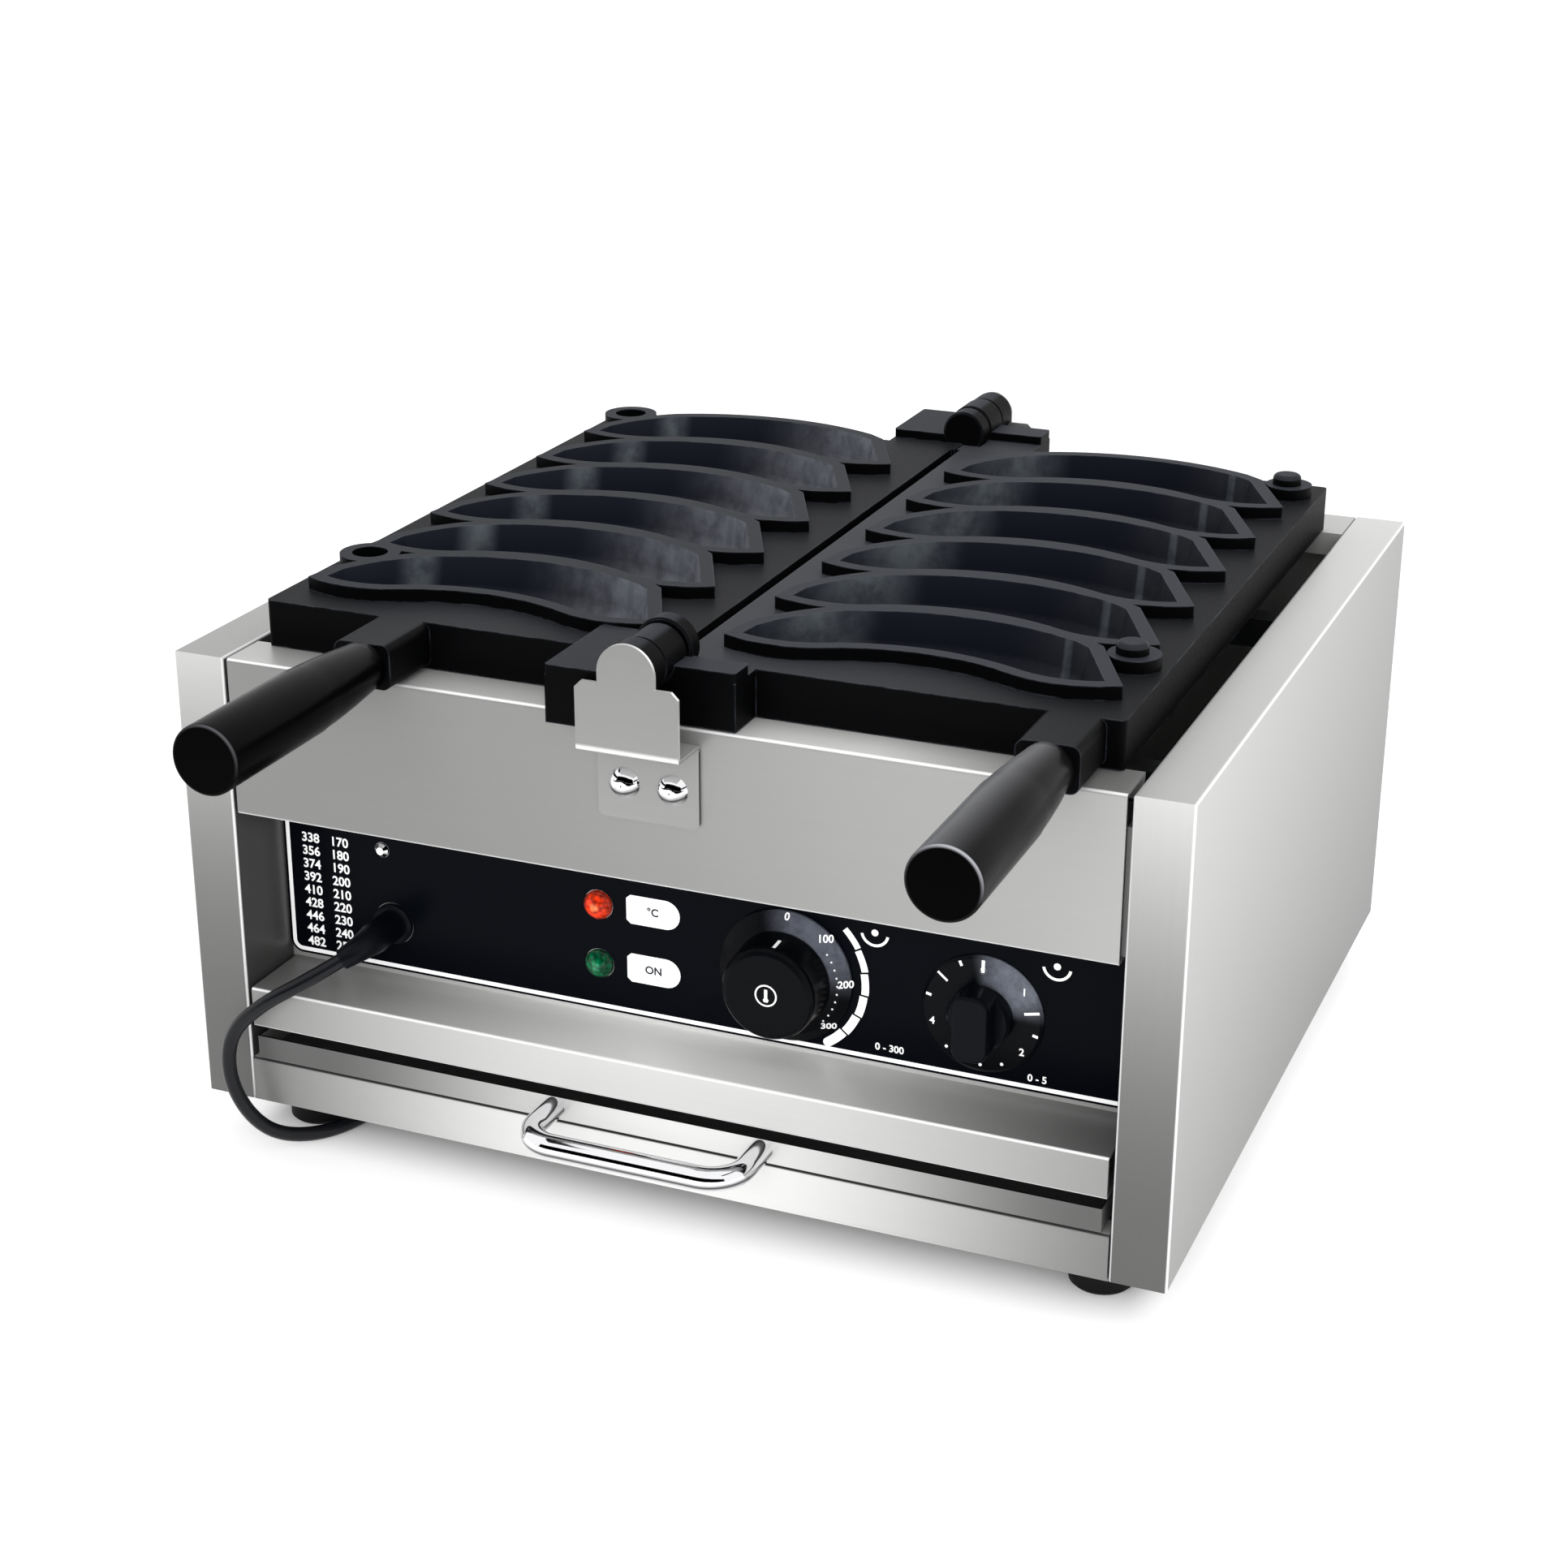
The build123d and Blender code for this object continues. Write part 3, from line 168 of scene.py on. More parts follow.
def floor_paint(tree):
    """White paper that glows to the rays that show it, and glows less in a painted shadow under the object's
    front.
    """
    paper = add_node(tree, "BsdfDiffuse", Color=(floor_paper, floor_paper, floor_paper, 1))
    spot = add_node(tree, "SeparateXYZ", Vector=object_place(tree))
    beside = maths(tree, "ABSOLUTE", spot.outputs[0])
    under = times(tree, smooth_range(tree, spot.outputs[1], *shadow_front),
                  smooth_range(tree, beside, *shadow_side), smooth_range(tree, spot.outputs[1], *shadow_back))
    glow = add_node(tree, "Emission", Color=(1, 1, 1, 1),
                    Strength=between(tree, under, floor_glow, shadow_glow))
    dark = add_node(tree, "Emission", Color=(0, 0, 0, 1), Strength=0.0)
    seen = add_node(tree, "MixShader", Fac=background_rays(tree), i1=dark.outputs[0], i2=glow.outputs[0])
    both = add_node(tree, "AddShader", i0=paper.outputs[0], i1=seen.outputs[0])
    add_node(tree, "OutputMaterial", Surface=both.outputs[0])


floor_corners = [(-floor_half, -floor_half, 0), (floor_half, -floor_half, 0),
                 (floor_half, floor_half, 0), (-floor_half, floor_half, 0)]
floor_paint(flat_card("floor", floor_corners)[1])


def dark_flag(name, corners):
    """A black card that only gloss shows, for contrast in chrome and glossy black."""
    card, tree = flat_card(name, corners)
    black = add_node(tree, "Emission", Color=(0, 0, 0, 1), Strength=0.0)
    add_node(tree, "OutputMaterial", Surface=black.outputs[0])
    card.visible_camera = False
    card.visible_diffuse = False
    card.visible_shadow = False
    card.visible_transmission = False
    return card


flag_left, flag_right = -2.4, 3.0
flag_far, flag_near = -2.6, -0.9
flag_low, flag_foot, flag_head = 0.01, 0.02, 1.5
dark_flag("front_flag", [(flag_left, flag_far, flag_foot), (flag_right, flag_far, flag_foot),
                         (flag_right, flag_far, flag_head), (flag_left, flag_far, flag_head)])
dark_flag("low_flag", [(flag_left, flag_far, flag_low), (flag_right, flag_far, flag_low),
                       (flag_right, flag_near, flag_low), (flag_left, flag_near, flag_low)])


def soft_box(name, place, target, width, height, watts):
    """A rectangular soft box that looks at its target and leaves no glint of itself."""
    light = bpy.data.lights.new(name, "AREA")
    light.shape = "RECTANGLE"
    light.size = width
    light.size_y = height
    light.energy = watts
    lamp = bpy.data.objects.new(name, light)
    lamp.location = place
    lamp.rotation_euler = (Vector(target) - Vector(place)).to_track_quat("-Z", "Y").to_euler()
    lamp.visible_glossy = False
    bpy.context.collection.objects.link(lamp)
    return lamp


soft_box("overhead_box", (0.1, 0.3, 1.8), (0.0, 0.05, 0.2), width=1.6, height=1.2, watts=5)
soft_box("front_box", (0.2, -1.9, 0.75), (0.0, -0.1, 0.12), width=1.6, height=1.2, watts=16)
soft_box("right_box", (1.9, 0.1, 0.8), (0.2, 0.05, 0.15), width=1.4, height=1.2, watts=5)


# Casing of folded sheet
# Side panels, fascia, control panel, floor and back are folded from satin stainless sheet
# with a fine grain; the bends carry a painted highlight. Painted shade darkens the sheet towards
# the foot, and painted light and shade by face and painted sheen bands stand in for its reflections.
def new_group(name, inputs, outputs):
    """An empty shader group with its sockets, given as (name, type, value)."""
    group = bpy.data.node_groups.new(name, "ShaderNodeTree")
    for title, kind, value in inputs:
        socket = group.interface.new_socket(title, in_out="INPUT", socket_type="NodeSocket" + kind)
        socket.default_value = value
    for title, kind in outputs:
        group.interface.new_socket(title, in_out="OUTPUT", socket_type="NodeSocket" + kind)
    return group, group.nodes.new("NodeGroupInput"), group.nodes.new("NodeGroupOutput")


def use_group(tree, group, **sockets):
    """One use of a shader group in a material."""
    return add_node(tree, "Group", {"node_tree": group}, **sockets)


def object_normal(tree):
    """The facing of the surface in the piece's own frame."""
    return add_node(tree, "TexCoord").outputs["Normal"]


def reach_along(tree, vector, direction):
    """How far a vector reaches in a direction."""
    step = add_node(tree, "VectorMath", {"operation": "DOT_PRODUCT"}, i0=vector, i1=direction)
    return step.outputs["Value"]


def vector_step(tree, operation, a, b=(0.0, 0.0, 0.0)):
    """The vector that comes from one step of vector arithmetic."""
    return add_node(tree, "VectorMath", {"operation": operation}, i0=a, i1=b).outputs[0]


def brushed_grain():
    """Fine streaks along the sheet: a tone about 1, and a height for bump."""
    group, given, result = new_group(
        "brushed_grain",
        [("Stretch", "Vector", (3.0, 500.0, 500.0)), ("Contrast", "Float", 0.1)],
        [("Tone", "Float"), ("Height", "Float")])
    scaled = vector_step(group, "MULTIPLY", object_place(group), given.outputs["Stretch"])
    noise = add_node(group, "TexNoise", Vector=scaled, Scale=1.0, Detail=4.0, Roughness=0.6)
    centred = maths(group, "SUBTRACT", noise.outputs[0], 0.5)
    spread = maths(group, "MULTIPLY_ADD", centred, given.outputs["Contrast"], 1.0)
    group.links.new(spread, result.inputs["Tone"])
    group.links.new(noise.outputs[0], result.inputs["Height"])
    return group


def fold_catch():
    """1 on bends, where the surface faces along no axis: the place of the painted fold highlight."""
    group, given, result = new_group(
        "fold_catch",
        [("Flat", "Float", 0.985), ("Round", "Float", 0.86)],
        [("Mask", "Float")])
    facing = add_node(group, "SeparateXYZ", Vector=vector_step(group, "ABSOLUTE", object_normal(group)))
    highest = maths(group, "MAXIMUM", facing.outputs[0], facing.outputs[1])
    highest = maths(group, "MAXIMUM", highest, facing.outputs[2])
    mask = smooth_range(group, highest, given.outputs["Flat"], given.outputs["Round"], "LINEAR")
    group.links.new(mask, result.inputs["Mask"])
    return group


def ramp_along():
    """A tone that runs along an axis of the piece from Start to End."""
    group, given, result = new_group(
        "ramp_along",
        [("Axis", "Vector", (1.0, 0.0, 0.0)), ("Start", "Float", 0.0), ("End", "Float", 1.0),
         ("Low", "Float", 0.0), ("High", "Float", 1.0), ("Bend", "Float", 1.0)],
        [("Tone", "Float")])
    along = reach_along(group, object_place(group), given.outputs["Axis"])
    share = smooth_range(group, along, given.outputs["Start"], given.outputs["End"], "LINEAR")
    bent = maths(group, "POWER", share, given.outputs["Bend"])
    tone = between(group, bent, given.outputs["Low"], given.outputs["High"])
    group.links.new(tone, result.inputs["Tone"])
    return group


def sheen_band():
    """A painted sheen: a soft band across an axis of the piece, highest at its Centre."""
    group, given, result = new_group(
        "sheen_band",
        [("Axis", "Vector", (1.0, 0.0, 0.0)), ("Centre", "Float", 0.0), ("Reach", "Float", 0.2),
         ("Low", "Float", 0.0), ("High", "Float", 1.0)],
        [("Tone", "Float")])
    along = reach_along(group, object_place(group), given.outputs["Axis"])
    apart = maths(group, "ABSOLUTE", maths(group, "SUBTRACT", along, given.outputs["Centre"]))
    share = smooth_range(group, maths(group, "DIVIDE", apart, given.outputs["Reach"]), 1.0, 0.0)
    tone = between(group, share, given.outputs["Low"], given.outputs["High"])
    group.links.new(tone, result.inputs["Tone"])
    return group


def by_face():
    """The painted light and shade of the front, side or top, by the way the surface faces."""
    group, given, result = new_group(
        "by_face",
        [("Front", "Float", 0.5), ("Side", "Float", 0.5), ("Top", "Float", 0.5)],
        [("Tone", "Float")])
    square = vector_step(group, "MULTIPLY", object_normal(group), object_normal(group))
    shares = add_node(group, "SeparateXYZ", Vector=square)
    total = times(group, shares.outputs[1], given.outputs["Front"])
    total = maths(group, "MULTIPLY_ADD", shares.outputs[0], given.outputs["Side"], total)
    total = maths(group, "MULTIPLY_ADD", shares.outputs[2], given.outputs["Top"], total)
    group.links.new(total, result.inputs["Tone"])
    return group


grain_group = brushed_grain()
fold_group = fold_catch()
ramp_group = ramp_along()
band_group = sheen_band()
face_group = by_face()
AXES = {"x": (1.0, 0.0, 0.0), "y": (0.0, 1.0, 0.0), "z": (0.0, 0.0, 1.0)}


def ramp(axis, start, end, low, high, bend=1.0):
    """A tone that runs from low at start to high at end; places in millimetres."""
    return lambda tree: use_group(tree, ramp_group, Axis=AXES[axis], Start=start * MM, End=end * MM,
                                  Low=low, High=high, Bend=bend).outputs["Tone"]


def band(axis, centre, reach, low, high):
    """A tone that is high at the centre and falls to low at the reach; places in millimetres."""
    return lambda tree: use_group(tree, band_group, Axis=AXES[axis], Centre=centre * MM,
                                  Reach=reach * MM, Low=low, High=high).outputs["Tone"]


def product(*tones):
    """The product of several tones."""
    return lambda tree: times(tree, *[tone(tree) for tone in tones])


def new_material(name):
    """An empty node material: its tree and its Principled shader."""
    material = bpy.data.materials.new(name)
    material.use_nodes = True
    material.node_tree.nodes.clear()
    shader = add_node(material.node_tree, "BsdfPrincipled")
    add_node(material.node_tree, "OutputMaterial", Surface=shader.outputs[0])
    return material, material.node_tree, shader


def dress(material, *nodes):
    """Gives CAD pieces their finish."""
    for name in nodes:
        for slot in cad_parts[name].material_slots:
            slot.material = material


def tinted(tree, colour, factor):
    """A colour times a factor that varies over the surface."""
    return add_node(tree, "VectorMath", {"operation": "SCALE"}, i0=colour[:3], Scale=factor).outputs[0]


def mixed(tree, base, other, mask):
    """The base colour, turning to the other where the mask is 1."""
    made = add_node(tree, "Mix", {"data_type": "RGBA"}, i0=mask, i6=base, i7=other)
    return made.outputs[2]


steel_tint = (1.0, 1.0, 0.985, 1)
# Painted highlight colour of the bends.
fold_highlight_white = (0.97, 0.97, 0.97, 1)
seam_dark = (0.03, 0.03, 0.032, 1)


def sheet_steel(name, stretch, front, side, top, metallic=0.35, roughness=0.38, contrast=0.06,
                edge=fold_highlight_white):
    """Satin sheet whose tones for its front, side and top faces are painted light and shade, with the bends
    in the edge colour, by default a painted highlight.
    """
    material, tree, shader = new_material(name)
    grain = use_group(tree, grain_group, Stretch=stretch, Contrast=contrast)
    faces = {face: tone(tree) if callable(tone) else tone
             for face, tone in (("Front", front), ("Side", side), ("Top", top))}
    tone = use_group(tree, face_group, **faces)
    level = times(tree, tone.outputs["Tone"], grain.outputs["Tone"])
    fold = use_group(tree, fold_group)
    bump = add_node(tree, "Bump", Strength=0.04, Distance=0.0002, Height=grain.outputs["Height"])
    fill(tree, shader, Metallic=metallic, Roughness=times(tree, grain.outputs["Tone"], roughness),
         Base_Color=mixed(tree, tinted(tree, steel_tint, level), edge, fold.outputs["Mask"]),
         Normal=bump.outputs[0])
    return material


grain_along_x = (4.0, 700.0, 700.0)
grain_along_z = (700.0, 700.0, 4.0)
sheet_foot, sheet_top = 22, 233
sheet_front, sheet_back = -151, 249
inner_left, inner_right = -200, 200
side_inner, side_outer = 203, 218
front_foot = 30
fascia_foot = 162

# The tones below are painted light and shade: lighter or darker by face, along each sheet, towards the foot
# and on the inner walls, with painted sheen bands across the fronts.
fascia_steel = sheet_steel(
    "fascia_steel", grain_along_x, side=0.4,
    front=product(ramp("x", inner_left, inner_right, low=0.27, high=0.475, bend=2.0),
                  ramp("z", fascia_foot, sheet_top, low=1.0, high=1.12)),
    top=product(ramp("x", inner_left, 90, low=0.52, high=1.0), ramp("x", 195, 95, low=0.25, high=1.0)))
right_steel = sheet_steel(
    "right_side_steel", grain_along_z,
    front=ramp("z", front_foot, sheet_top, low=0.135, high=0.76, bend=2.4),
    side=product(ramp("z", sheet_foot, sheet_top, low=0.335, high=0.61),
                 ramp("y", sheet_front, sheet_back, low=1.0, high=0.61),
                 ramp("x", side_inner, side_outer, low=0.08, high=1.0)),
    top=ramp("y", sheet_front, sheet_back, low=0.51, high=0.70))
left_steel = sheet_steel(
    "left_side_steel", grain_along_z,
    front=ramp("z", front_foot, sheet_top, low=0.15, high=0.68, bend=2.7),
    side=product(ramp("z", sheet_foot, sheet_top, low=0.7, high=1.0),
                 ramp("x", -side_outer, -side_inner, low=0.6, high=0.12)),
    top=ramp("y", sheet_front, sheet_back, low=0.37, high=0.6))
panel_steel = sheet_steel(
    "panel_steel", grain_along_x, side=0.3, metallic=0.04,
    front=band("x", centre=5, reach=265, low=0.24, high=0.74),
    top=band("x", centre=-5, reach=215, low=0.14, high=1.0))
rail_steel = sheet_steel(
    "rail_steel", grain_along_x, side=0.3, top=0.5, edge=seam_dark,
    front=band("x", centre=2, reach=232, low=0.19, high=1.0))
back_steel = sheet_steel(
    "back_steel", grain_along_x, side=0.4, top=0.55,
    front=ramp("z", sheet_foot, sheet_top, low=0.3, high=0.6))
dress(fascia_steel, "front_fascia")
dress(right_steel, "right_side_panel")
dress(left_steel, "left_side_panel")
dress(panel_steel, "control_panel")
dress(rail_steel, "base_pan")
dress(back_steel, "rear_panel")


# Feet
# Four moulded rubber pucks, each held by one screw up through its hollow.
def plain(name, colour, roughness, metallic=0.0, specular=0.5, mottle=0.12, scale=60.0, bump=0.0):
    """A plain finish whose tone and gloss vary slightly, as moulded and turned pieces do."""
    material, tree, shader = new_material(name)
    grain = use_group(tree, grain_group, Stretch=(scale, scale, scale), Contrast=mottle)
    fill(tree, shader, Base_Color=tinted(tree, colour, grain.outputs["Tone"]), Metallic=metallic,
         Roughness=times(tree, grain.outputs["Tone"], roughness), Specular_IOR_Level=specular)
    if bump:
        dent = add_node(tree, "Bump", Strength=bump, Distance=0.0003, Height=grain.outputs["Height"])
        fill(tree, shader, Normal=dent.outputs[0])
    return material


foot_rubber = plain("foot_rubber", (0.006, 0.006, 0.006, 1), roughness=0.6, specular=0.15)
zinc = plain("zinc_steel", (0.55, 0.55, 0.53, 1), roughness=0.35, metallic=1.0)
dress(foot_rubber, "feet")
dress(zinc, "foot_screws", "tray_handle_screws", "left_handle_stud", "right_handle_stud", "lamp_nuts")

# Control film
# A black printed polyester film glued on the recessed panel: a white border line, a table
# of temperatures in two scales, two white labels, and the scales of both controls.
film_black = plain("film_black", (0.0022, 0.003, 0.0052, 1), roughness=0.3, specular=0.035, mottle=0.2,
                   scale=30.0)
dress(film_black, "control_overlay")
print_white = plain("print_white", (0.95, 0.95, 0.95, 1), roughness=0.6, specular=0.2, mottle=0.04)
# A slight glow in the white print: painted light, not a lamp.
fill(print_white.node_tree, print_white.node_tree.nodes["Principled BSDF"],
     Emission_Color=(1, 1, 1, 1), Emission_Strength=0.3)
print_dark = plain("print_dark", (0.02, 0.025, 0.04, 1), roughness=0.6, specular=0.2, mottle=0.04)
film_low, film_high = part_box("control_overlay")
film_y = film_low[1]
print_rise = 0.06 * MM


def printed(name, curve, ink=print_white, y=None):
    """Adds a curve or text as a thin layer of ink, on the film or at another plane."""
    curve.materials.append(ink)
    piece = bpy.data.objects.new(name, curve)
    piece.rotation_euler = (pi / 2, 0, 0)
    piece.location.y = film_y if y is None else y
    bpy.context.collection.objects.link(piece)
    return piece


def on_casing(piece):
    """A printed piece that stays with the casing."""
    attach(piece, "casing")
    return piece


def ink_face(name, outlines, x=0.0, z=0.0, ink=print_white, y=None):
    """Filled flat outlines in a plane parallel to the front, points in millimetres."""
    curve = bpy.data.curves.new(name, "CURVE")
    curve.dimensions = "2D"
    curve.fill_mode = "BOTH"
    curve.extrude = print_rise
    for points in outlines:
        outline = curve.splines.new("POLY")
        outline.points.add(len(points) - 1)
        for point, (u, v) in zip(outline.points, points):
            point.co = ((x + u) * MM, (z + v) * MM, 0, 1)
        outline.use_cyclic_u = True
    return printed(name, curve, ink, y)


def turned(radius, angle):
    """A point at a radius and an angle in degrees clockwise from the top."""
    return (radius * sin(radians(angle)), radius * cos(radians(angle)))


def arc_points(radius, start, end, steps=10):
    """Points on an arc; angles in degrees clockwise from the top."""
    return [turned(radius, start + (end - start) * i / steps) for i in range(steps + 1)]


def stroke(inner, outer, angle, half_width):
    """A short bar that points away from the middle."""
    u, v = turned(1.0, angle)
    return [(inner * u - half_width * v, inner * v + half_width * u),
            (outer * u - half_width * v, outer * v + half_width * u),
            (outer * u + half_width * v, outer * v - half_width * u),
            (inner * u + half_width * v, inner * v - half_width * u)]


def dot(radius, angle, size):
    """A small round dot."""
    u, v = turned(radius, angle)
    return [(u + size * cos(radians(45 * i)), v + size * sin(radians(45 * i))) for i in range(8)]


def ink_text(name, words, x, z, height, ink=print_white, y=None):
    """Plain characters in ink, centred on a point."""
    curve = bpy.data.curves.new(name, "FONT")
    curve.body = words
    curve.size = height * MM * 1.4
    curve.align_x = "CENTER"
    curve.align_y = "CENTER"
    curve.extrude = print_rise
    curve.offset = 0.03 * height * MM
    piece = printed(name, curve, ink, y)
    piece.location.x = x * MM
    piece.location.z = z * MM
    return piece


body_top = 233.4
table_rows = 9
table_top = body_top - 95.6
table_height = 4.4
row_pitch = 6.4
fahrenheit_x, celsius_x = -186.5, -171.7
first_celsius, celsius_step = 170, 10
for row in range(table_rows):
    celsius = first_celsius + celsius_step * row
    row_z = table_top - row_pitch * row
    fahrenheit = round(celsius * 1.8 + 32)
    on_casing(ink_text(f"table_left_{row}", str(fahrenheit), fahrenheit_x, row_z, table_height))
    on_casing(ink_text(f"table_right_{row}", str(celsius), celsius_x, row_z, table_height))

label_x = -17.5
label_half = 6.75
label_left, label_right = -12.5, 6.0
label_cut_x, label_cut_z = 2.0, 1.75
label_outline = [(label_left, label_cut_z - label_half), (label_left, label_half - label_cut_z),
                 (label_left + label_cut_x, label_half), (label_right, label_half)]
label_outline += [(label_right + u, v) for u, v in arc_points(label_half, 10, 170)]
label_outline += [(label_right, -label_half), (label_left + label_cut_x, -label_half)]
for number, (drop, words) in enumerate(((102.75, "°C"), (130.35, "ON"))):
    on_casing(ink_face(f"label_{number}", [label_outline], x=label_x, z=body_top - drop))
    on_casing(ink_text(f"label_word_{number}", words, label_x, body_top - drop, 3.6, print_dark,
                       film_y - 2 * print_rise))

knob_x, knob_z = 44.5, 113.4
arc_start, arc_end, arc_parts = 45, 147, 6
arc_gap = 0.7
arc_steps = 10
arc_top_radius, arc_end_radius = 38.2, 36.0
arc_thin, arc_thick = 2.6, 4.3


def arc_segment(number):
    """One white part of the widening arc beside the knob; the last part has a round end."""
    pitch = (arc_end - arc_start) / arc_parts
    first = arc_start + pitch * number + arc_gap
    last = arc_start + pitch * (number + 1) - arc_gap
    share = (number + 0.5) / arc_parts
    outer = arc_top_radius + (arc_end_radius - arc_top_radius) * share
    thick = arc_thin + (arc_thick - arc_thin) * share
    cap = []
    if number == arc_parts - 1:
        u, v = turned(outer - thick / 2, last)
        cap = [(u + thick / 2 * sin(radians(last + turn)), v + thick / 2 * cos(radians(last + turn)))
               for turn in range(30, 180, 30)]
    return arc_points(outer, first, last, arc_steps) + cap + arc_points(outer - thick, last, first, arc_steps)


on_casing(ink_face("heat_arc", [arc_segment(number) for number in range(arc_parts)], x=knob_x, z=knob_z))

film_left, film_right = -200.2, film_high[0] / MM
film_foot, film_head = film_low[2] / MM, film_high[2] / MM
film_corner = 6.0
border_outer, border_inner = 1.1, 3.0
border_rise = 0.04 * MM
wing_width = 12
wing_sink = 0.03 * MM


def film_edge(inset):
    """The film's left and lower edge with its round corner, drawn in by an inset."""
    left, low, corner = film_left + inset, film_foot + inset, film_corner - inset
    bend = [(left + corner * (1 - cos(radians(10 * i))), low + corner * (1 - sin(radians(10 * i))))
            for i in range(10)]
    return [(left, film_head)] + bend + [(film_right - inset, low)]


border = film_edge(border_outer) + film_edge(border_inner)[::-1]
on_casing(ink_face("film_border", [border], y=film_y - border_rise))
wing = film_edge(0.0)[:-1] + [(film_left + wing_width, film_foot), (film_left + wing_width, film_head)]
on_casing(ink_face("film_wing", [wing], ink=film_black, y=film_y + wing_sink))


# Temperature knob
# A satin black knob on a wide dial skirt. The skirt's cone carries dots and the numbers of
# the scale, the grip's upper side a white index, and the cap a thermometer in a ring.
def dial_sheen():
    """1 in a sector around a middle, in the plane of the front, and 0 away from it: the place of a painted
    sheen.
    """
    group, given, result = new_group(
        "dial_sheen",
        [("Middle", "Vector", (0.0, 0.0, 0.0)), ("Towards", "Vector", (0.7, 0.0, 0.7)),
         ("Narrow", "Float", 0.6), ("Wide", "Float", 1.0)],
        [("Mask", "Float")])
    offset = vector_step(group, "SUBTRACT", object_place(group), given.outputs["Middle"])
    flat = vector_step(group, "MULTIPLY", offset, (1, 0, 1))
    near = reach_along(group, vector_step(group, "NORMALIZE", flat), given.outputs["Towards"])
    share = smooth_range(group, near, given.outputs["Narrow"], given.outputs["Wide"])
    group.links.new(share, result.inputs["Mask"])
    return group


sheen_group = dial_sheen()
sheen_towards = (0.64, 0, 0.77)


def dial_plastic(name, x, z, colour, sheen_colour, narrow, front_y, strength=0.9):
    """Black plastic with a painted sheen, a soft lighter sector behind front_y, broken up by grain."""
    material, tree, shader = new_material(name)
    grain = use_group(tree, grain_group, Stretch=(300, 300, 300), Contrast=1.2)
    sector = use_group(tree, sheen_group, Middle=(x * MM, 0, z * MM), Towards=sheen_towards, Narrow=narrow,
                       Wide=1.0)
    depth = add_node(tree, "SeparateXYZ", Vector=object_place(tree)).outputs[1]
    behind = smooth_range(tree, depth, (front_y - 0.5) * MM, front_y * MM)
    amount = times(tree, sector.outputs["Mask"], grain.outputs["Tone"], behind, strength)
    fine = use_group(tree, grain_group, Stretch=(80, 80, 80), Contrast=0.2)
    fill(tree, shader, Base_Color=mixed(tree, colour, sheen_colour, amount), Specular_IOR_Level=0.07,
         Roughness=times(tree, fine.outputs["Tone"], 0.28))
    return material


skirt_front = -118.8
# The skirt's lighter sector is a painted sheen.
knob_black, skirt_sheen = (0.0022, 0.0026, 0.0036, 1), (0.13, 0.14, 0.175, 1)
knob_plastic = dial_plastic("knob_plastic", knob_x, knob_z, knob_black, skirt_sheen, narrow=0.45,
                            front_y=skirt_front)
dress(knob_plastic, "temperature_knob")


def on_knob(piece):
    """A printed piece that turns with the temperature knob."""
    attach(piece, "temperature_control")
    return piece


def lay_on(piece, place, normal):
    """Lays a flat piece at a place so that it faces along the normal with its top upwards."""
    facing_out = Vector(normal).normalized()
    upwards = (Vector((0, 0, 1)) - facing_out * facing_out.z).normalized()
    sideways = upwards.cross(facing_out)
    piece.matrix_world = Matrix((
        (sideways.x, upwards.x, facing_out.x, place[0]),
        (sideways.y, upwards.y, facing_out.y, place[1]),
        (sideways.z, upwards.z, facing_out.z, place[2]),
        (0, 0, 0, 1)))
    return piece


dots_radius, dots_y, dot_size = 24.8, -117.95, 0.45
first_dot, dot_step, dot_count = 54, 8.6, 10
skirt_dots = [dot(dots_radius, first_dot + dot_step * i, dot_size) for i in range(dot_count)]
on_knob(ink_face("skirt_dots", skirt_dots, x=knob_x, z=knob_z, y=dots_y * MM))

skirt_slope = radians(31)
numeral_radius, numeral_y, numeral_height = 28.1, -116.5, 3.3
for words, angle in (("0", 3), ("100", 42), ("200", 87), ("300", 133)):
    u, v = turned(1.0, angle)
    numeral = ink_text("skirt_" + words, words, 0, 0, numeral_height)
    lay_on(numeral, ((knob_x + numeral_radius * u) * MM, numeral_y * MM, (knob_z + numeral_radius * v) * MM),
           (sin(skirt_slope) * u, -cos(skirt_slope), sin(skirt_slope) * v))
    on_knob(numeral)

ring_outer, ring_inner = 5.0, 4.3
ring = [arc_points(ring_outer, 0, 360, 24), arc_points(ring_inner, 0, 360, 24)]
half_thermometer = [(0.7, 2.8), (0.7, -1.2), (1.3, -2.0), (0.8, -3.0)]
thermometer = half_thermometer + [(-u, v) for u, v in half_thermometer[::-1]]
cap_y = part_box("temperature_knob")[0][1] - print_rise
on_knob(ink_face("cap_mark", ring + [thermometer], x=knob_x, z=knob_z, y=cap_y))

index_front, index_back = (-132.8, 21.12), (-126.0, 21.50)
index_turns = (4.0, 5.9, 7.8)
index_points = [(knob_x + radius * sin(radians(turn)), y, knob_z + radius * cos(radians(turn)))
                for y, radius in (index_front, index_back) for turn in index_turns]
on_knob(mesh_piece("grip_index", [Vector(v) * MM for v in index_points], [(0, 1, 4, 3), (1, 2, 5, 4)],
                   print_white))

# Timer dial and knob
# A raised dial disc fixed to the panel, printed with ticks, dots and minutes, and a small
# knob with a bar grip that turns in front of it. Both spindles are brass.
timer_x, timer_z = 132.0, 111.9
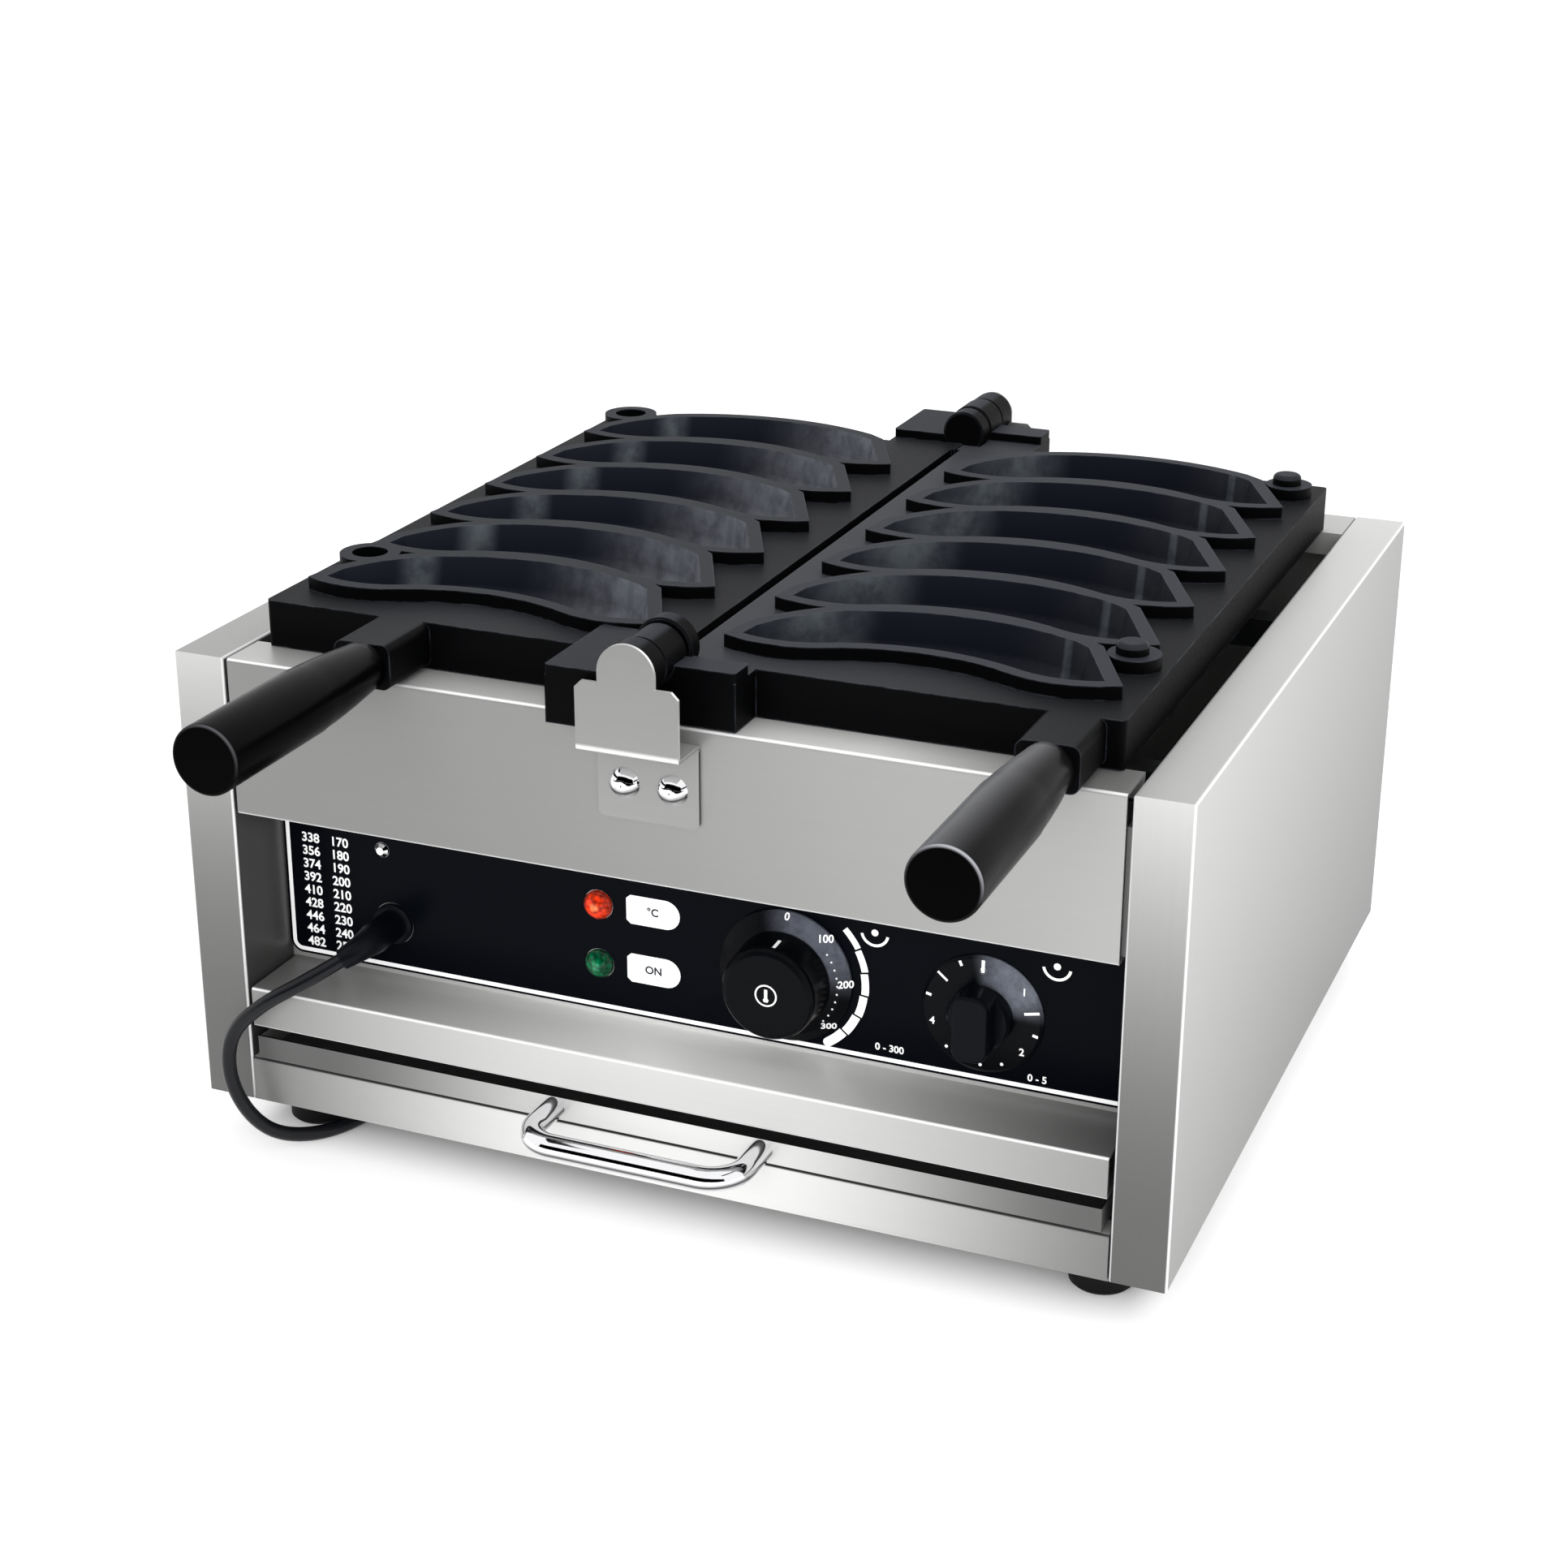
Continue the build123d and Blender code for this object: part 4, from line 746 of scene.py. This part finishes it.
# The dial's pale blue sector is a painted sheen.
dial_black, timer_sheen_blue = (0.0028, 0.0032, 0.0046, 1), (0.20, 0.215, 0.26, 1)
before_dial = -200.0
dial_face = dial_plastic("dial_plastic", timer_x, timer_z, dial_black, timer_sheen_blue, narrow=0.6,
                         front_y=before_dial)
bar_plastic = plain("bar_plastic", (0.0035, 0.0042, 0.0065, 1), roughness=0.3, specular=0.08)
dress(dial_face, "timer_dial")
dress(bar_plastic, "timer_knob")
tick_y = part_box("timer_dial")[0][1] - print_rise
small_tick, dot_ring, minute_ring = (22.6, 25.0), 22.8, 22.4
ticks = [stroke(19.2, 24.8, 0, 0.7), stroke(18.6, 25.2, 78, 0.6), stroke(19.8, 25.4, -50, 0.5)]
ticks += [stroke(*small_tick, turn, 0.6) for turn in (-24, -77, 103)]
ticks += [dot(dot_ring, turn, 0.75) for turn in (-139, 156, 180)]
ticks += [dot(20.0, 0, 1.5)]
on_casing(ink_face("timer_ticks", ticks, x=timer_x, z=timer_z, y=tick_y))
for words, angle in (("1", 53), ("2", 128), ("4", -107)):
    u, v = turned(minute_ring, angle)
    on_casing(ink_text("minute_" + words, words, timer_x + u, timer_z + v, numeral_height, y=tick_y))

dish_outer, dish_inner = 6.4, 5.2
dish = [arc_points(dish_outer, 100, 260, 14) + arc_points(dish_inner, 260, 100, 14), dot(0.0, 0, 1.6)]
for name, x, z in (("heat_sign", 84.0, 139.6), ("time_sign", 162.8, 138.7)):
    on_casing(ink_face(name, dish, x=x, z=z))
word_height = 3.2
on_casing(ink_text("heat_word", "0 - 300", 91.3, 87.4, word_height))
on_casing(ink_text("time_word", "0 - 5", 156.2, 86.2, word_height))
brass = plain("brass", (0.66, 0.5, 0.24, 1), roughness=0.3, metallic=1.0)
dress(brass, "temperature_shaft", "timer_shaft")


# Pilot lamps
# Faceted plastic jewels with a neon behind each, red lit and green dim.
def jewel(name, node, colour, glow_colour, hot_colour, strength):
    """A clear coloured plastic lens whose facets pass the light unevenly, brightest in its middle."""
    material, tree, shader = new_material(name)
    low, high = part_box(node)
    middle = ((low[0] + high[0]) / 2, 0, (low[2] + high[2]) / 2)
    radius = (high[0] - low[0]) / 2
    rim_reach, core_reach, core_full = 0.6 * radius, 0.42 * radius, 0.02 * radius
    flat = vector_step(tree, "MULTIPLY", vector_step(tree, "SUBTRACT", object_place(tree), middle), (1, 0, 1))
    apart = add_node(tree, "VectorMath", {"operation": "LENGTH"}, i0=flat).outputs["Value"]
    facets = add_node(tree, "TexVoronoi", Vector=object_place(tree), Scale=420.0, Randomness=0.8)
    sparkle = add_node(tree, "MapRange", Value=facets.outputs["Distance"], From_Min=0.1, From_Max=0.75,
                       To_Min=1.7, To_Max=0.35).outputs[0]
    rim = smooth_range(tree, apart, radius, rim_reach)
    level = times(tree, sparkle, maths(tree, "MULTIPLY_ADD", rim, 0.75, 0.25))
    core = times(tree, smooth_range(tree, apart, core_reach, core_full), sparkle)
    glow = mixed(tree, tinted(tree, glow_colour, level), hot_colour, core)
    fill(tree, shader, Base_Color=tinted(tree, colour, level), Roughness=0.12, Specular_IOR_Level=0.25,
         Emission_Color=glow, Emission_Strength=strength)
    return material


red_lens = jewel("red_lens", "red_lamp", colour=(0.5, 0.012, 0.004, 1), glow_colour=(0.9, 0.06, 0.006, 1),
                 hot_colour=(1.5, 0.62, 0.22, 1), strength=0.55)
green_lens = jewel("green_lens", "green_lamp", colour=(0.0, 0.07, 0.025, 1), glow_colour=(0.0, 0.2, 0.07, 1),
                   hot_colour=(0.15, 0.75, 0.42, 1), strength=0.35)
dress(red_lens, "red_lamp")
dress(green_lens, "green_lamp")

# Crumb tray
# A shallow folded tray; its plain front lip shows between the strip and the rail.
# Painted light on the tray: a sheen band across the lip and painted shade on its upward faces towards the
# front.
tray_steel = sheet_steel("tray_steel", grain_along_x, side=0.3,
                         front=band("x", centre=14, reach=180, low=0.13, high=0.9),
                         top=ramp("y", -149, -60, low=0.01, high=0.5))
dress(tray_steel, "crumb_tray", "tray_runners")


# Tray handle
# Bent from round bar and chromed, with a painted dark reflection band along the side where
# it turns from the sky to the table; two screws hold it from behind the lip.
def facing_ramp():
    """A mask that grows as the surface turns towards a direction."""
    group, given, result = new_group(
        "facing_ramp",
        [("Towards", "Vector", (0.0, 0.0, 1.0)), ("Start", "Float", 0.0), ("End", "Float", 1.0),
         ("Bend", "Float", 1.0)],
        [("Mask", "Float")])
    facing = reach_along(group, object_normal(group), given.outputs["Towards"])
    share = smooth_range(group, facing, given.outputs["Start"], given.outputs["End"], "LINEAR")
    group.links.new(maths(group, "POWER", share, given.outputs["Bend"]), result.inputs["Mask"])
    return group


facing_group = facing_ramp()


def facing_mask(tree, towards, start, end, bend=1.0):
    """A mask that runs from 0 to 1 as the surface's share of a direction goes from start to end."""
    return use_group(tree, facing_group, Towards=towards, Start=start, End=end, Bend=bend).outputs["Mask"]


def chrome_plate():
    """Chrome with a painted dark reflection where the surface faces level forwards."""
    material, tree, shader = new_material("chrome")
    towards = (0, -0.35, 0.94)
    below = facing_mask(tree, towards, -0.42, -0.02)
    above = facing_mask(tree, towards, 0.30, 0.02)
    shade = times(tree, below, above, 0.93)
    polish = use_group(tree, grain_group, Stretch=(60, 60, 60), Contrast=0.06).outputs["Tone"]
    level = times(tree, maths(tree, "SUBTRACT", 1.0, shade), polish)
    fill(tree, shader, Base_Color=tinted(tree, (0.93, 0.93, 0.95, 1), level), Metallic=1.0,
         Roughness=times(tree, polish, 0.07))
    return material


chrome = chrome_plate()
dress(chrome, "tray_handle")

# Mould plates
# Two castings under a dark non-stick coat. Each mould shows painted reflections: paler
# patches, a streak and a crease line; the rim edges carry a painted highlight, the upper faces a
# painted lighter tone, and the outer walls stay black.
plate_face = 252.0
rim_top = 258.0
mould_front = -129.0
mould_length = 152.8
mould_start, mould_end = (-0.05, -0.03), (1.07, 1.05)
crease_at, crease_width = 0.82, (0.018, 0.006)
level_facing = (0.86, 0.97)
sloping_facing = (0.08, 0.16)


def above_level(tree, place, level):
    """0 below a level in millimetres and 1 above it, over one millimetre."""
    return smooth_range(tree, place, (level - 0.5) * MM, (level + 0.5) * MM)


def mould_marks():
    """Where a plate shows its cavities, upper faces and rims, and where the painted reflections in the moulds
    go.
    """
    group, given, result = new_group(
        "mould_marks",
        [("First X", "Float", 0.0), ("Streak", "Float", 0.2), ("Width", "Float", 0.05),
         ("Glow", "Float", 0.4)],
        [("Cavity", "Float"), ("Top", "Float"), ("Rim", "Float"), ("Streak", "Float"), ("Glow", "Float")])
    place = add_node(group, "SeparateXYZ", Vector=object_place(group))
    upwards = add_node(group, "SeparateXYZ", Vector=object_normal(group)).outputs[2]
    top = times(group, smooth_range(group, upwards, *level_facing),
                above_level(group, place.outputs[2], plate_face))
    run = maths(group, "SUBTRACT", place.outputs[0], given.outputs["First X"])
    run = maths(group, "DIVIDE", run, mould_length * MM)
    within = times(group, smooth_range(group, run, *mould_start), smooth_range(group, run, *mould_end),
                   above_level(group, place.outputs[1], mould_front))
    hollow = times(group, smooth_range(group, upwards, *sloping_facing), maths(group, "SUBTRACT", 1.0, top))
    from_streak = maths(group, "ABSOLUTE", maths(group, "SUBTRACT", run, given.outputs["Streak"]))
    streak = smooth_range(group, from_streak, given.outputs["Width"], 0.0)
    from_crease = maths(group, "ABSOLUTE", maths(group, "SUBTRACT", run, crease_at))
    crease = times(group, smooth_range(group, from_crease, *crease_width), 0.8)
    for name, value in (("Cavity", times(group, hollow, within)),
                        ("Top", top),
                        ("Rim", above_level(group, place.outputs[2], rim_top)),
                        ("Streak", maths(group, "MAXIMUM", streak, crease)),
                        ("Glow", smooth_range(group, run, given.outputs["Glow"], 0.95))):
        group.links.new(value, result.inputs[name])
    return group


marks_group = mould_marks()
coat_side = (0.0016, 0.0017, 0.0021, 1)
# Grey of the painted highlight on the rim edges.
rim_edge_highlight = (0.11, 0.12, 0.145, 1)


def grey(level, red, green, blue):
    """A colour from its level and the share of each channel."""
    return (red * level, green * level, blue * level, 1)


def coated_casting(name, first_x, top_tone, rim_level, deep_level, patch_level, glow_level,
                   streak, width, glow):
    """Dark coating over cast aluminium, for one plate, with painted reflections in its moulds and a painted
    highlight on its rim edges; top_tone is the painted lighter grey of its upper faces.
    """
    material, tree, shader = new_material(name)
    marks = use_group(tree, marks_group, First_X=first_x * MM, Streak=streak, Width=width, Glow=glow)
    cast = use_group(tree, grain_group, Stretch=(900, 900, 900), Contrast=0.5)
    cloud = use_group(tree, grain_group, Stretch=(110, 40, 90), Contrast=2.6).outputs["Tone"]
    side = tinted(tree, coat_side, cast.outputs["Tone"])
    # Painted light: the upper faces are lighter than the black outer walls.
    top = tinted(tree, grey(1.0, 0.92, 0.96, 1.08), times(tree, top_tone(tree), cast.outputs["Tone"]))
    rim = tinted(tree, grey(rim_level, 0.85, 0.93, 1.15), cast.outputs["Tone"])
    outside = mixed(tree, side, mixed(tree, top, rim, marks.outputs["Rim"]), marks.outputs["Top"])
    # Painted reflections in the moulds: a paler glow towards the far end, a streak and a crease.
    cloudy = smooth_range(tree, cloud, 0.45, 1.4)
    pale_share = times(tree, marks.outputs["Glow"], maths(tree, "MULTIPLY_ADD", cloudy, 0.5, 0.5))
    streak_reflection_share = times(tree, marks.outputs["Streak"], maths(tree, "MULTIPLY_ADD", cloudy, 0.6, 0.4))
    inside = mixed(tree, grey(deep_level, 0.62, 0.72, 1.15), grey(glow_level, 0.9, 0.95, 1.08), pale_share)
    inside = mixed(tree, inside, grey(patch_level, 0.82, 0.93, 1.05), streak_reflection_share)
    colour = mixed(tree, outside, inside, marks.outputs["Cavity"])
    # Painted highlight along the rounded rim edges.
    rounded = add_node(tree, "Bevel", {"samples": 4}, Radius=0.0011)
    apart = reach_along(tree, rounded.outputs[0], add_node(tree, "NewGeometry").outputs["Normal"])
    edge_highlight = times(tree, smooth_range(tree, apart, 0.96, 0.80), smooth_range(tree, cloud, 0.5, 1.5), 0.6)
    rough = times(tree, between(tree, marks.outputs["Cavity"], 0.5, 0.24), cast.outputs["Tone"])
    bump = add_node(tree, "Bump", Strength=0.1, Distance=0.0003, Height=cast.outputs["Height"])
    fill(tree, shader, Base_Color=mixed(tree, colour, rim_edge_highlight, edge_highlight), Roughness=rough,
         Specular_IOR_Level=0.05, Normal=bump.outputs[0])
    return material


left_first_x, right_first_x = -174.5, 21.7
left_coat = coated_casting(
    "left_plate_coat", left_first_x, band("x", centre=-90, reach=110, low=0.015, high=0.031),
    rim_level=0.031, deep_level=0.018, patch_level=0.12, glow_level=0.20, streak=0.16, width=0.06, glow=0.42)
right_coat = coated_casting(
    "right_plate_coat", right_first_x, ramp("x", 0, 190, low=0.058, high=0.012),
    rim_level=0.039, deep_level=0.015, patch_level=0.10, glow_level=0.03, streak=0.13, width=0.16, glow=0.6)
dress(left_coat, "left_mould_plate")
dress(right_coat, "right_mould_plate", "locating_pins")

# Handles
# Turned black grips, each screwed on a steel stud: nearly straight, then drawn in smoothly
# to the root. Their gloss is painted in, palest on the upper left, and the edge carries a painted highlight.
grip_axis_z = 243.95
grip_front, grip_root = -279.0, -163.0
grip_length = grip_root - grip_front
left_grip_x, right_grip_x = -124, 170
grip_profile = [(13.1, 0.0), (13.9, 0.25), (14.4, 0.9), (14.5, 2.0), (14.45, 24.0), (14.35, 50.0),
                (14.25, 70.0), (13.9, 72.5), (13.6, 80.0), (13.1, 88.0), (12.4, 97.0), (11.6, 105.0),
                (10.9, 112.0), (10.7, grip_length)]
grip_sides = 72
upper_left = (-0.723, 0.0, 0.69)
upper_right = (0.5, -0.1, 0.86)
forwards = (0, -1, 0)


def turned_grip(name, x, material):
    """A closed turned shape about the handle's axis, from its profile of radius and depth."""
    points = [(x, grip_front, grip_axis_z)]
    for radius, depth in grip_profile:
        for k in range(grip_sides):
            turn = 2 * pi * k / grip_sides
            points.append((x + radius * sin(turn), grip_front + depth, grip_axis_z + radius * cos(turn)))
    points.append((x, grip_root, grip_axis_z))
    faces = []
    last = 1 + (len(grip_profile) - 1) * grip_sides
    for k in range(grip_sides):
        beyond = (k + 1) % grip_sides
        faces.append((0, 1 + beyond, 1 + k))
        for ring_start in range(1, last, grip_sides):
            next_start = ring_start + grip_sides
            faces.append((ring_start + k, ring_start + beyond, next_start + beyond, next_start + k))
        faces.append((last + k, last + beyond, len(points) - 1))
    piece = mesh_piece(name, [Vector(v) * MM for v in points], faces, material)
    for face in piece.data.polygons:
        face.use_smooth = len(face.vertices) == 4
    return piece


def grip_black(name, front_level, root_level, shadow_level, start, bend, edge_level):
    """Black bakelite; its painted gloss runs from the front level to the root level, and the
    rounded edge of its front end carries a painted highlight of the edge level."""
    material, tree, shader = new_material(name)
    gloss = facing_mask(tree, upper_left, start, 1.0, bend)
    grain = use_group(tree, grain_group, Stretch=(25, 60, 25), Contrast=0.35).outputs["Tone"]
    along = ramp("y", grip_front, grip_root, front_level, root_level, bend=1.6)(tree)
    level = maths(tree, "ADD", times(tree, gloss, along, grain), shadow_level)
    round_side = facing_mask(tree, forwards, 0.995, 0.9)
    level = times(tree, level, maths(tree, "MULTIPLY_ADD", round_side, 0.97, 0.03))
    # Painted highlight on the rounded front edge.
    edge = times(tree, facing_mask(tree, forwards, 0.25, 0.6), round_side,
                 facing_mask(tree, upper_right, 0.1, 0.85, bend=1.5))
    level = maths(tree, "MULTIPLY_ADD", edge, edge_level, level)
    fill(tree, shader, Base_Color=tinted(tree, (0.97, 0.98, 1.05, 1), level),
         Roughness=times(tree, grain, 0.25), Specular_IOR_Level=0.03)
    return material


def add_grip(name, x, material, body, node):
    """One grip that turns with its plate in place of the solid one."""
    grip = turned_grip(name, x, material)
    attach(grip, body)
    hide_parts(node)


left_black = grip_black("left_grip_black", front_level=0.010, root_level=0.060, shadow_level=0.0015,
                        start=-0.45, bend=1.3, edge_level=0.10)
right_black = grip_black("right_grip_black", front_level=0.145, root_level=0.20, shadow_level=0.008,
                         start=0.05, bend=1.8, edge_level=0.5)
add_grip("left_grip", left_grip_x, left_black, "left_plate", "left_handle")
add_grip("right_grip", right_grip_x, right_black, "right_plate", "right_handle")

# Hinge brackets, pins and bolts
# Bent stainless plates, each held to the casing by two chromed dome bolts; a painted highlight
# runs along the bend, painted shade darkens the lower side edges, and steel pins carry the knuckles.
bracket_foot, bracket_top = 190, 272
bracket_bend = 227
bracket_steel = sheet_steel(
    "bracket_steel", grain_along_x, top=0.6, roughness=0.34,
    front=product(ramp("z", bracket_foot, bracket_top, low=0.36, high=0.33),
                  band("z", bracket_bend, reach=1.8, low=1.0, high=2.8)),
    side=ramp("z", 224, 228, low=0.03, high=0.7))
dress(bracket_steel, "front_hinge_bracket", "rear_hinge_bracket")
pin_steel = plain("pin_steel", (0.2, 0.2, 0.21, 1), roughness=0.3, metallic=1.0)
dress(pin_steel, "front_hinge_pin", "rear_hinge_pin")
dress(chrome, "bracket_bolts", "panel_screw")

# Heating and inside pieces
# Sheathed elements on two bars, the zinc-coated shield over the controls, the switches
# behind the panel, the copper bulb and the ceramic terminal block.
sheath = plain("element_sheath", (0.12, 0.1, 0.095, 1), roughness=0.5, metallic=1.0)
galvanised = plain("galvanised_sheet", (0.2, 0.21, 0.22, 1), roughness=0.45, metallic=1.0, mottle=0.4,
                   scale=80.0)
switch_body = plain("switch_body", (0.03, 0.03, 0.03, 1), roughness=0.5)
copper = plain("copper_tube", (0.7, 0.38, 0.24, 1), roughness=0.3, metallic=1.0)
ceramic = plain("ceramic", (0.7, 0.67, 0.6, 1), roughness=0.6)
dress(sheath, "left_heating_element", "right_heating_element")
dress(galvanised, "heat_shield", "element_bars")
dress(switch_body, "thermostat", "timer", "strain_relief_nut")
dress(copper, "thermostat_bulb")
dress(ceramic, "terminal_block")

# Strain relief and plug
# A moulded rubber boot in the panel and a moulded plug.
boot_rubber = plain("boot_rubber", (0.003, 0.0037, 0.006, 1), roughness=0.35, specular=0.12)
plug_plastic = plain("plug_plastic", (0.008, 0.008, 0.009, 1), roughness=0.4, specular=0.4)
dress(boot_rubber, "strain_relief")
dress(plug_plastic, "mains_plug")

# Mains lead
# A round three-core lead in black rubber. It leaves the boot, drops beside the tray, turns
# under the front edge, runs under the casing and ends in a neat coil behind it.
cord_radius = 3.3
floor_level = 3.5
cord_exit = (-153.06, -146.59, 98.07)
cord_route = [
    cord_exit,
    (-167.42, -156.59, 88.38),
    (-185.5, -161.5, 77.5),
    (-203.5, -163, 60),
    (-204, -165.5, 38.5),
    (-197, -161.5, 18.5),
    (-187.5, -151.5, 5.5),
    (-170.5, -136.5, floor_level),
    (-162, -107, floor_level),
    (-155, -65, floor_level),
    (-147, -11, floor_level),
    (-129, 61, floor_level),
    (-105, 133, floor_level),
    (-96, 194, floor_level),
    (-100, 249, floor_level),
    (-100, 297.4, floor_level),
]
coil_x, coil_y = -144.4, 304.0
coil_outer = 44.4
coil_gap = 0.5
coil_pitch = 2 * cord_radius + coil_gap
upper_level = floor_level + coil_pitch
half_turns = 8
climb_turn = 5
points_per_half_turn = 12
polygon_swell = 0.9914
tail_bend = 34.0
tail_end = 12.0


def coil_side(i):
    """X of the coil where half-turn i ends, wound inwards on the table and outwards above."""
    inwards = i if i <= climb_turn else half_turns + 1 - i
    reach = coil_outer - inwards * coil_pitch / 2
    return coil_x + (reach if i % 2 == 0 else -reach)


def coil_points():
    """Control points of the coil's turns and of its tail to the plug."""
    points = []
    step = pi / points_per_half_turn
    for turn in range(1, half_turns + 1):
        start, end = coil_side(turn - 1), coil_side(turn)
        middle, radius = (start + end) / 2, abs(end - start) / 2 / polygon_swell
        first = 0 if turn % 2 == 1 else pi
        for k in range(points_per_half_turn):
            share = (k + 0.5) / points_per_half_turn
            level = floor_level if turn < climb_turn else upper_level
            if turn == climb_turn:
                level = floor_level + coil_pitch * share
            angle = first + (k + 0.5) * step
            points.append((middle + radius * cos(angle), coil_y + radius * sin(angle), level))
    tail_x = coil_side(half_turns) + tail_bend
    for k in range(points_per_half_turn // 2):
        angle = pi - (k + 0.5) * step
        radius = tail_bend / polygon_swell
        points.append((tail_x + radius * cos(angle), coil_y + radius * sin(angle), upper_level))
    points.append((tail_x + tail_end / 2, coil_y + tail_bend, upper_level))
    points.append((tail_x + tail_end, coil_y + tail_bend, upper_level))
    return points


lead = bpy.data.curves.new("mains_lead", "CURVE")
lead.dimensions = "3D"
lead.bevel_depth = 1.0
lead.bevel_resolution = 6
lead.resolution_u = 8
lead.use_fill_caps = True
lead.materials.append(plain("lead_sheath", (0.004, 0.0045, 0.007, 1), roughness=0.3, specular=0.3,
                            scale=200.0, bump=0.05))
spline = lead.splines.new("NURBS")
cord_points = cord_route + coil_points()
spline.points.add(len(cord_points) - 1)
for point, place in zip(spline.points, cord_points):
    point.co = (*(Vector(place) * MM), 1)
    point.radius = cord_radius * MM
spline.order_u = 3
spline.use_endpoint_u = True
lead_object = bpy.data.objects.new("mains_lead", lead)
bpy.context.collection.objects.link(lead_object)
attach(lead_object, "casing")
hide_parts("power_cord", "cord_coil")
